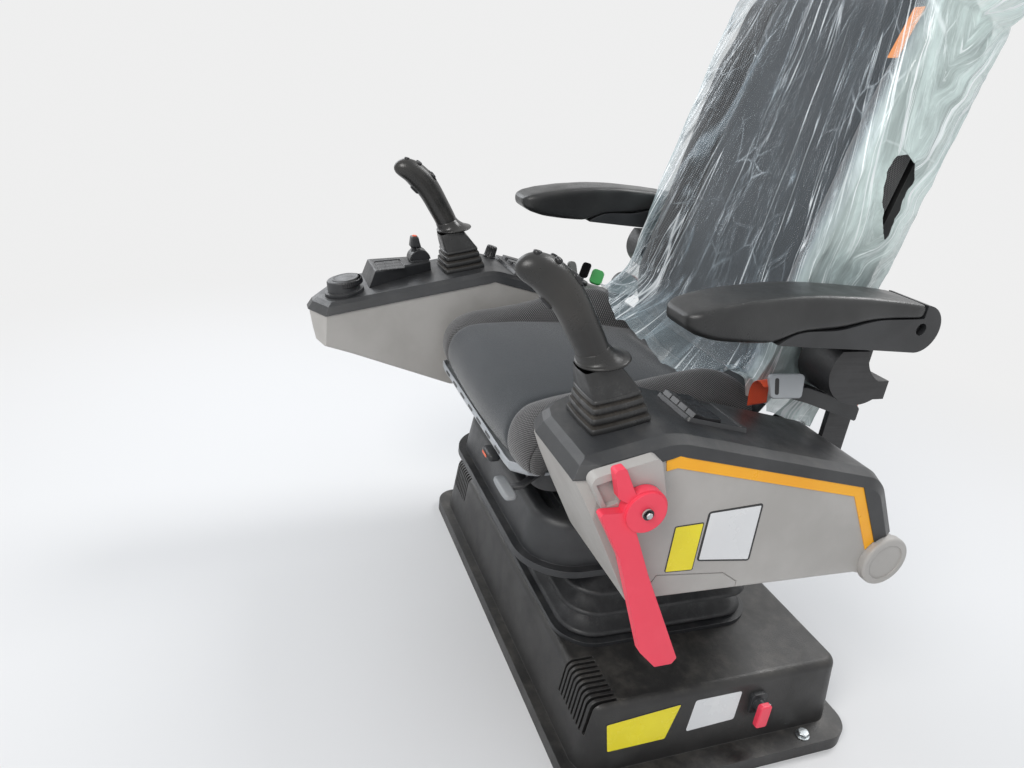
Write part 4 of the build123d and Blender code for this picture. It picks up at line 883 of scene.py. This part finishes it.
# ---------------------------------------------------------------- stick boots, flares and grips
# Ribs of a boot: half width and height above the deck, and whether the face is a dusty groove
RIBS = []
for i in range(3):
    w, h = .0412 - .003 * i, .012 * i
    RIBS += [(w, h + .0002, 0), (w + .0003, h + .0012, 0), (w, h + .0064, 0), (w - .0009, h + .0077, 0),
        (w - .0036, h + .0083, 1), (w - .0044, h + .0091, 1), (w - .0047, h + .0108, 1),
        (w - .0036, h + .0119, 0)]
RIBS += [(.0329, .0363, 0), (.0332, .0372, 0), (.033, .0397, 0), (.0322, .0408, 0), (.0314, .0413, 0)]
# Bend of the grip: reach forwards, rise, turn from upright, radius
BEND = [(-.0022, -.0056, 21.5, .0208), (0, 0, 21.5, .0209), (.006, .01, 26, .0206), (.015, .0235, 33, .0206),
    (.024, .037, 35, .021), (.033, .0505, 36, .0215), (.0415, .0615, 38, .0221), (.049, .0705, 42, .0225),
    (.058, .079, 48, .0226), (.066, .0855, 55, .0224), (.075, .0915, 66, .0216), (.084, .0955, 78, .0203),
    (.0925, .0972, 86, .0183), (.1, .0974, 92, .0152), (.106, .0968, 96, .0112), (.1098, .0962, 97, .0066),
    (.1112, .0959, 97, .0018)]


def boot(side, hand):
    slope = radians(12.5)
    normal = Vector((0, -sin(slope), cos(slope)))
    y0 = -.284
    z0 = .642 - abs(y0 + .234) * math.tan(slope)
    deck = frame_at((.35 * side, y0, z0), normal)
    pivot = deck @ Vector((0, 0, -.014))
    tilt = radians(21.5)
    axis = Vector((0, -sin(tilt), cos(tilt)))
    rings = [[deck @ Vector((x, y, h)) for x, y in bowed(half, .0052, .0016)] for half, h, _ in RIBS]
    count = len(rings[0])
    skirt = loft(f"{hand}_boot_ribs", rings, None, ["boot_rubber", "boot_groove"],
        (False, False), second=lambda f: RIBS[f[0] // count][2] or RIBS[f[0] // count + 1][2])
    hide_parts(f"{hand}_boot_skirt")
    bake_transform(skirt)
    # Square cone with crisp corners, from the top collar to the flare
    rings = []
    base = deck @ Vector((0, 0, .0408))
    for k in range(15):
        f = k / 14
        place = frame_at(base.lerp(pivot + axis * .093, f), normal.lerp(axis, f))
        half = .0316 + (.0222 - .0316) * f ** 1.1
        rings.append([place @ Vector((x, y, 0)) for x, y in bowed(half, .0036 + .0035 * f ** 3, .0012)])
    cone = loft(f"{hand}_boot_neck", rings, None, "boot_rubber", caps=(False, False))
    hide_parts(f"{hand}_boot_cone")
    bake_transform(cone)
    # Thin-rimmed flare under the grip, drawn out towards the seat
    rings = []
    for r, shift, h, ang in [(.012, 0.0, -.0015, 21), (.022, .004, -.0022, 15), (.0305, .0085, -.0018, 12),
            (.0345, .0106, -.0006, 11.5), (.0354, .011, .0008, 11.5), (.035, .0109, .0022, 11.5),
            (.0335, .0102, .0031, 12), (.0308, .0086, .0042, 13), (.0276, .0062, .0068, 15),
            (.025, .0036, .0105, 17.5), (.0231, .0016, .0145, 19.5), (.022, .0004, .018, 21),
            (.0214, 0.0, .02, 21.5), (.0206, 0, .0206, 21.5), (.008, 0, .0206, 21.5)]:
        lean_to = radians(ang)
        up = Vector((0, -sin(lean_to), cos(lean_to)))
        place = frame_at(pivot + axis * (.0925 + h) + Vector((0, cos(tilt), sin(tilt))) * shift, up, (1, 0, 0))
        rings.append(circle(place, r, 0, 64))
    flare = loft(f"{hand}_grip_flare", rings, f"{hand}_stick", "grip_black")
    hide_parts(f"{hand}_stick_shaft")
    # Grip: nodding loft with a parting line down each flank
    seat_at = pivot + axis * .112
    rings, count = [], 72
    for reach, rise, turn, r in BEND:
        turn = radians(turn)
        place = frame_at(seat_at + Vector((0, -reach, rise)), (0, -sin(turn), cos(turn)))
        ring = []
        for k in range(count):
            a = 2 * pi * k / count
            full = between(rise, [(0.0, 0.0), (.024, 1.0)])
            wide, deep = 1.02 - .07 * full, 1.02 + .03 * full
            groove = .00055 * math.exp(-((abs(cos(a)) - 1) / .0016) ** 2)
            palm = .0012 * max(0.0, -sin(a)) ** 3 * between(rise, [(.02, .2), (.06, 1), (.09, .2)])
            rr = r - groove * min(1, r / .01) - palm
            ring.append(place @ Vector((rr * wide * cos(a), rr * deep * sin(a), 0)))
        rings.append(ring)
    grip = loft(f"{hand}_grip_body", rings, f"{hand}_stick", "grip_black")
    subdivide(grip)
    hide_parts(f"{hand}_grip")
    # Sunk panel with a thumb wheel and buttons on the seat side of the head
    for n, (back_by, turn, across, r, high, mat) in enumerate(((.052, 42, 0.0, .0128, .0012, "rocker_black"),
            (.052, 42, 0.0, .007, .0036, "cover_black"), (.0735, 62, .0075, .0046, .003, "rocker_black"),
            (.0735, 62, -.0075, .0046, .003, "rocker_black"), (.09, 82, 0.0, .0052, .003, "rocker_black"))):
        rise, r_at = (between(back_by, [(q[0], q[c]) for q in BEND]) for c in (1, 3))
        t = radians(turn)
        out = Vector((0, cos(t), sin(t)))
        at = seat_at + Vector((across, -back_by, rise)) + out * (r_at * 1.05 - (.0012 if not across else .0022))
        place = frame_at(at, out + Vector((across * 40, 0, 0)))
        turned(f"{hand}_grip_button_{n}", place, [(r, -.004), (r, high - .0008), (r - .0008, high)],
            f"{hand}_stick", mat, 28, .0004)
    # Trigger under the head
    t = radians(50)
    out = Vector((0, -cos(t), -sin(t)))
    place = frame_at(seat_at + Vector((0, -.054, .076)) + out * .0185, out)
    outline = rounded(.006, .0105, .004, 4)
    rings = [[place @ Vector((x * sc, y * sc, z)) for x, y in outline]
        for sc, z in ((1, -.003), (1, .005), (.9, .0072), (.6, .008))]
    subdivide(loft(f"{hand}_grip_trigger", rings, f"{hand}_stick", "rocker_black"))


boot(1, "left")
boot(-1, "right")

# ---------------------------------------------------------------- armrest pads
def armrest(side, hand, lift):
    low = [(.205, .758), (.16, .757), (.119, .755), (.053, .741), (-.014, .736), (-.042, .72), (-.1, .7215),
        (-.139, .7245), (-.168, .731), (-.184, .739), (-.189, .748)][::-1]
    high = [(.205, .778), (.15, .7835), (.08, .788), (.015, .79), (-.032, .7885), (-.095, .782), (-.14, .774),
        (-.168, .767), (-.182, .7605), (-.188, .755), (-.189, .752)][::-1]
    ys = [-.1885, -.187, -.184, -.179, -.171, -.16, -.145, -.125]
    ys += [-.1 + .0277 * k for k in range(11)] + [.195, .2035]
    rings = []
    for y in ys:
        bottom, top_z = between(y, low), between(y, high)
        near = max(0.0, min(1.0, (y + .189) / .03))
        half = .041 - .026 * dip(1 - near)
        end = max(0.0, min(1.0, (.205 - y) / .01))
        half -= .002 * (1 - end)
        tall = max(.004, top_z - bottom)
        ring = []
        r = min(.011, tall * .3)
        for x, zz in rounded(half, tall / 2, r, 4):
            crown = .0022 * (1 - (x / .041) ** 2) if zz > 0 else 0.0
            tuck = .0035 * max(0.0, -zz / (tall / 2)) ** 2
            xx = x - (tuck if x > 0 else -tuck)
            ring.append((.31 * side + xx, y, (bottom + top_z) / 2 + zz + crown + lift))
        rings.append(ring)
    pad = loft(f"{hand}_arm_pad", rings, f"{hand}_armrest", "armrest_pad")
    subdivide(pad)
    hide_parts(f"{hand}_armrest_pad")


armrest(1, "left", 0.0)
armrest(-1, "right", .03)

# ---------------------------------------------------------------- small details on the hard pieces
TREES = {}


def solid_tree(node):
    if node not in TREES:
        mesh = nodes[node].data
        TREES[node] = BVHTree.FromPolygons([v.co.copy() for v in mesh.vertices],
            [tuple(f.vertices) for f in mesh.polygons])
    return TREES[node]


def sticker(name, corners, node, inward, body, mats, r, rim):
    """Thin plate with a border of its own colour, its corners in order, pressed onto a node's wall."""
    tree, lift = solid_tree(node), .0006
    p = [Vector(c) for c in corners]
    wide, tall = (p[1] - p[0]).length, (p[2] - p[1]).length
    away = -Vector(inward).normalized()

    def at(x, y, height):
        a, b = x / wide + .5, y / tall + .5
        q = p[0].lerp(p[1], a).lerp(p[3].lerp(p[2], a), b)
        found = tree.ray_cast(q + away * .08, -away, .3)[0]
        return (found or q) + away * height

    rings = [[at(x, y, h) for x, y in rounded(wide / 2 - inset, tall / 2 - inset, max(.0008, r - inset), 4)]
        for inset, h in ((0, -.0002), (0, lift * .7), (.0004, lift), (max(.0006, rim), lift),
        (max(.0006, rim) + .0003, lift))]
    count = len(rings[0])
    return loft(name, rings, body, mats, smooth=False, second=lambda f: len(f) > 4
        and min(f) >= 4 * count)


def moved(x, y, z):
    return Matrix.Translation((x, y, z))


def spin(degrees, axis):
    return Matrix.Rotation(radians(degrees), 4, axis)


def ring_about(place, count, height, reach):
    """Ring about a place's axis at one height; reach gives the radius at an angle."""
    angles = [2 * pi * k / count for k in range(count)]
    return [place @ Vector((reach(a) * cos(a), reach(a) * sin(a), height)) for a in angles]


def hex_bolt(name, at, up, size, body, washer=True):
    """Hexagon head with its washer and the chamfered top of the head."""
    place = frame_at(at, up, (1, .3, .1))
    if washer:
        turned(f"{name}_washer", place, [(size * 1.12, 0), (size * 1.15, .0004), (size * 1.15, .0016),
            (size * 1.1, .002)], body, "zinc")
    rings = []
    for r, h, round_off in ((.2, .002, 1), (.8, .002, 1), (1.0, .0021, 0), (1.0, .0021 + size * .5, 0),
            (.93, .0021 + size * .62, .7), (.84, .0021 + size * .66, 1), (.2, .0021 + size * .66, 1)):
        def reach(a):
            hexed = .866 / cos((a + pi / 6) % (pi / 3) - pi / 6)
            return size * r * (hexed * (1 - round_off) + .9 * round_off if r > .3 else r)
        rings.append(ring_about(place, 36, h, reach))
    soften(loft(name, rings, body, "zinc", smooth=False), .0005)


def knob(name, at, up, r, tall, body, mat):
    """Turned knob with a fluted flank, a skirt and a domed top."""
    place = frame_at(at, up)
    flank = [(1.12, 0, 0), (1.12, .1, 0), (1.0, .16, 0), (.99, .2, 1), (.94, .84, 1), (.9, .93, .4),
        (.8, .985, 0), (.5, 1.0, 0), (.05, 1.0, 0)]
    rings = [ring_about(place, 108, tall * h - .001, lambda a: r * share * (1 - .045 * cut * (1 + cos(18 * a))))
        for share, h, cut in flank]
    return loft(name, rings, body, mat)


# Outline of a strap: place across it, and half thickness
STRAP = [(-.5, 0), (-.46, .45), (-.2, .5), (.2, .5), (.46, .45), (.5, 0), (.46, -.45), (.2, -.5), (-.2, -.5),
    (-.46, -.45)]


def ribbon(name, points, across, thick, body, mat):
    """Flat strap along a smooth line, with the two long edges a little thinner."""
    steps = 26
    line = smooth_curve(points, steps)
    across = Vector(across)
    rings, coords, run = [], [], 0.0
    for i, q in enumerate(line):
        tangent = (line[min(steps - 1, i + 1)] - line[max(0, i - 1)]).normalized()
        out = tangent.cross(across).normalized() * thick
        run += (q - line[max(0, i - 1)]).length
        rings.append([q + across * a + out * b for a, b in STRAP])
        coords += [(a * across.length, run) for a, b in STRAP]
    obj = loft(name, rings, body, mat)
    uv_from(obj, coords)
    return obj


# Bare plates, in the colours of the real ones
sticker("console_plate_white", [(.46, -.171, .46), (.46, -.085, .449), (.46, -.088, .541), (.46, -.171, .536)],
    "left_console_shell", (-1, 0, 0), "left_console", ["plate_black", "plate_white"], .005, .0028)
sticker("console_plate_yellow", [(.46, -.217, .448), (.46, -.174, .446), (.46, -.174, .521),
    (.46, -.217, .519)], "left_console_shell", (-1, 0, 0), "left_console", ["plate_black", "plate_yellow"],
    .003, .0012)
sticker("base_plate_yellow", [(.41, -.205, .063), (.41, -.1, .064), (.41, -.078, .128), (.41, -.213, .117)],
    "base_cover", (-1, 0, 0), "base", ["plate_black", "plate_yellow"], .004, .001)
sticker("base_plate_white", [(.41, -.062, .07), (.41, .03, .074), (.41, .037, .128), (.41, -.052, .128)],
    "base_cover", (-1, 0, 0), "base", ["plate_white", "plate_white"], .004, .001)

for n, (x, y) in enumerate(((.421, -.17), (.421, .17), (-.421, -.17), (-.421, .17))):
    hex_bolt(f"floor_bolt_{n}", (x, y, .025), (0, 0, 1), .0105, "base")
for n, z in enumerate((.096, .111)):
    hex_bolt(f"isolator_nut_{n}", (.4125, .0785, z), (1, 0, 0), .0032, "base", washer=False)

# Lever hub: screw in a dark ring, painted shade of the hub's recess
hub = solid_tree("lever_bracket").ray_cast(Vector((.6, -.289, .5712)), Vector((-1, 0, 0)))[0]
place = frame_at(hub, (1, 0, 0), (0, 1, 0))
turned("hub_recess_shade", place, [(.0066, 0), (.0072, .0004), (.0069, .0008), (.006, .0006), (.0054, .0003)],
    "left_console", "plate_black", 40)
hex_bolt("hub_screw", hub + Vector((-.0012, 0, 0)), (1, 0, 0), .0044, "left_console", washer=False)

# Knobs and key on the right console
def on_top(x, y, node="right_console_cover"):
    """Place and direction of a node's wall as seen from above."""
    return solid_tree(node).ray_cast(Vector((x, y, 1)), Vector((0, 0, -1)))[:2]


for n, (x, y, r, tall) in enumerate(((-.41, -.203, .0125, .027), (-.41, -.098, .0125, .027))):
    at, up = on_top(x, y)
    knob(f"console_knob_{n}", at, up, r, tall, "carrier", "rocker_black")
at, up = on_top(-.4, .022)
place = frame_at(at, up, (0, 1, 0))
turned("key_base", place, [(.0165, -.001), (.0165, .005), (.015, .0075), (.011, .0085), (.01, .0075)],
    "carrier", "cover_black", count=44)
upright = place @ spin(90, "X")
slab("key_bow", upright @ moved(0, .0255, -.0014),
    [(x, y + (.012 if y > 0 else 0)) for x, y in rounded(.0115, .012, .007, 5)], .0028, "carrier",
    "rocker_black", .0008)
slab("key_blade", upright @ moved(0, .0105, -.001), rounded(.004, .006, .001, 2), .002, "carrier", "zinc",
    .0003)
for name, mat, (x, y), turn, lean_by in (("key_fob_grey", "fob_dark", (-.396, 0.0), 58, 30),
        ("key_fob_green", "fob_green", (-.402, .058), 48, -28)):
    at, up = on_top(x, y)
    m = frame_at(at + up * .004, up, (0, 1, 0)) @ spin(lean_by, "Z") @ spin(turn, "X")
    slab(name, m @ moved(0, .022, -.003), rounded(.015, .02, .01, 6), .0075, "carrier", mat,
        .0018)

# Keypad field, and the red dot on the thumb lever
at, up = on_top(-.36, -.43, "keypad_block")
m = frame_at(at - up * .0006, up)
slab("keypad_field", m, rounded(.031, .0255, .003, 4), .0012, "carrier", "rocker_black", width=.0004)
for row in range(3):
    for col in range(3):
        place = m @ moved((col - 1) * .0196, (row - 1) * .016, .0008)
        slab(f"key_{row}_{col}", place, rounded(.0092, .0074, .0014, 3), .001, "carrier", "cover_black",
            .0004)
# Shroud of the thumb lever, round the CAD's paddle
SHROUD = [(.658, .0125, .012, 0.0), (.6625, .0118, .0112, .001), (.669, .0108, .0096, .002),
    (.676, .01, .0084, .003), (.68, .0092, .0076, .0034), (.6815, .0078, .0064, .0034),
    (.6818, .004, .003, .0034)]
rings = [[Vector((-.381 + x, -.3745 - push + y, z)) for x, y in rounded(a, b, min(a, b) * .45, 5)]
    for z, a, b, push in SHROUD]
subdivide(loft("thumb_shroud", rings, "carrier", "cover_black"))
turned("thumb_dot", frame_at((-.381, -.3779, .6812), (0, 0, 1)), [(.0052, 0), (.0052, .0012), (.0042, .0019)],
    "carrier", "button_red", 24, .0003)
# Ribbed grip band and top disc of the jog dial
m = frame_at(*on_top(-.326, -.523, "jog_dial"))
BAND = [(.0318, -.0125, 0), (.0326, -.0118, 0), (.033, -.0108, 1), (.0326, -.003, 1), (.0318, -.0018, 0),
    (.0306, -.001, 0)]
rings = [ring_about(m, 192, h, lambda a: r - .0009 * cut * (.5 + .5 * cos(48 * a))) for r, h, cut in BAND]
loft("dial_band", rings, "carrier", "rocker_black", caps=(False, False))
turned("dial_disc", m, [(.012, .0004), (.0225, .0005), (.024, .0012), (.0252, .0012), (.0262, .0002),
    (.0262, -.0004)], "carrier", "cover_black", count=64)

# Front lip of the seat pan, and the two handles under it
rings = []
for i in range(25):
    f = i / 24
    x = -.216 + .432 * f
    pull = .026 * dip(max(0.0, (abs(x) - .188) / .028))
    rings.append([Vector((x, y + pull, z)) for y, z in ((-.288, .461), (-.332, .461), (-.344, .463),
        (-.3485, .4675), (-.35, .479), (-.3492, .4806), (-.3478, .4808), (-.3466, .4796), (-.3455, .4705),
        (-.341, .4672), (-.332, .4658), (-.288, .4658))])
soften(loft("pan_lip", rings, "seat", "pale_plastic", smooth=False), .0006)
# Slots in the lip: thin black slabs, painted shade where the openings lie
for n in range(7):
    x = -.15 + .05 * n
    slab(f"pan_slot_shade_{n}", frame_at((x, -.3497, .4738), (0, -1, .12)), rounded(.012, .0022, .0015, 4), .0006,
        "seat", "plate_black", .0002)
for name, mat, (x0, x1), y, z, tall in (("slide_handle", "fob_grey", (.158, .221), -.345, .428, .012),
        ("tilt_handle", "cover_black", (.098, .14), -.347, .45, .013)):
    rings = []
    for x, sc in ((x0, .35), (x0 + .002, .8), (x0 + .006, 1), (x1 - .006, 1), (x1 - .002, .8), (x1, .35)):
        rings.append([Vector((x, y + a * sc, z + b * sc)) for a, b in rounded(.011, tall / 2, .005, 4)])
    subdivide(loft(name, rings, "seat", mat))
    mid_x = (x0 + x1) / 2
    stem = [[Vector((mid_x + a, yy, zz + b)) for a, b in rounded(.007, .0035, .002, 3)]
        for yy, zz in ((y + .004, z), (-.318, z + .002), (-.29, .452))]
    loft(f"{name}_stem", stem, "seat", "frame_black")
slab("tilt_mark", frame_at((.119, -.3583, .45), (0, -1, 0)), rounded(.01, .0022, .001, 3), .0008, "seat",
    "button_red", .0003)

# Belt: tongue in the buckle, strap, button; strap end at the retractor
m = frame_at((.2875, .044, .631), (1, -.25, .35), (0, 1, 0))
slab("belt_tongue", m, [(x * (1 - .12 * (y < 0)), y) for x, y in rounded(.0285, .0185, .007, 6)], .0085,
    "carrier", "pale_plastic", .0022)
# Slot in the tongue: a thin black slab, painted shade of the opening
slab("belt_tongue_slot_shade", m @ moved(-.016, 0, .008), rounded(.0032, .0125, .0028, 4), .0009, "carrier",
    "plate_black", .0002)
strap = ribbon("belt_strap", [(.284, .028, .63), (.273, .026, .635), (.261, .026, .628), (.256, .027, .612),
    (.255, .031, .586)], (0, .036, .004), .0016, "carrier", "webbing")
m = frame_at((.2795, .1895, .5925), (0, .25, 1))
slab("belt_button", m, rounded(.0118, .0088, .003, 4), .0065, "carrier", "button_red", .0016)
tube_at = frame_at((-.2925, .03, .553), (0, .06, .073))
turned("retractor_tube", tube_at, [(.0205, 0), (.0222, .0016), (.0228, .004), (.0228, .03), (.0224, .031),
    (.0224, .033), (.0228, .034), (.0228, .086), (.0216, .0905), (.019, .0925), (.0175, .0915), (.016, .089)],
    "carrier", "cover_black", count=56, dome=-.0005)
strap = ribbon("retractor_strap", [(-.2925, .084, .619), (-.29, .09, .629), (-.28, .098, .631),
    (-.267, .104, .623), (-.259, .106, .608)], (0, .026, -.012), .0016, "carrier", "webbing")

camera()
lamp("key", (1.6, -2.2, 2.6), (0, 0, .5), 1.5, 54, (1, .985, .96))
lamp("fill", (-2.4, -1.2, 1.8), (0, 0, .5), 2.0, 28, (.93, .96, 1))
lamp("back", (-.5, 2.0, 3.0), (0, -.1, .6), 1.3, 50)

PALE = (.86, .86, .86, 1)
world = bpy.data.worlds.new("world")
scene.world = world
world.use_nodes = True
tree = world.node_tree
tree.nodes.clear()
path = add(tree, "LightPath").outputs
seen = add(tree, "Math", path["Is Camera Ray"], path["Is Glossy Ray"], operation="MAXIMUM").outputs[0]
seen = add(tree, "Math", seen, path["Is Transmission Ray"], operation="MAXIMUM").outputs[0]
soft = add(tree, "Background", (.9, .94, 1, 1), .55).outputs[0]
pale = add(tree, "Background", PALE, 1).outputs[0]
add(tree, "OutputWorld", add(tree, "MixShader", seen, soft, pale).outputs[0])

# Pale floor that fades into the backdrop's own colour
mesh = bpy.data.meshes.new("floor")
mesh.from_pydata([(-60, -60, 0), (60, -60, 0), (60, 60, 0), (-60, 60, 0)], [], [(0, 1, 2, 3)])
floor = link("floor", mesh)
mat = bpy.data.materials.new("floor")
mat.use_nodes = True
tree = mat.node_tree
near = tree.nodes["Principled BSDF"]
near.inputs["Base Color"].default_value = (.78, .78, .78, 1)
near.inputs["Roughness"].default_value = .85
far = add(tree, "Emission", PALE).outputs[0]
reach = add(tree, "VectorMath", add(tree, "TexCoord").outputs["Object"], operation="LENGTH").outputs["Value"]
fade = add(tree, "MapRange", reach, .7, 2.6, interpolation_type="SMOOTHSTEP").outputs[0]
put(tree, add(tree, "MixShader", fade, near.outputs[0], far).outputs[0],
    tree.nodes["Material Output"].inputs["Surface"])
mesh.materials.append(mat)
floor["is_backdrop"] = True

scene.view_settings.view_transform = "Standard"
low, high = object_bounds()
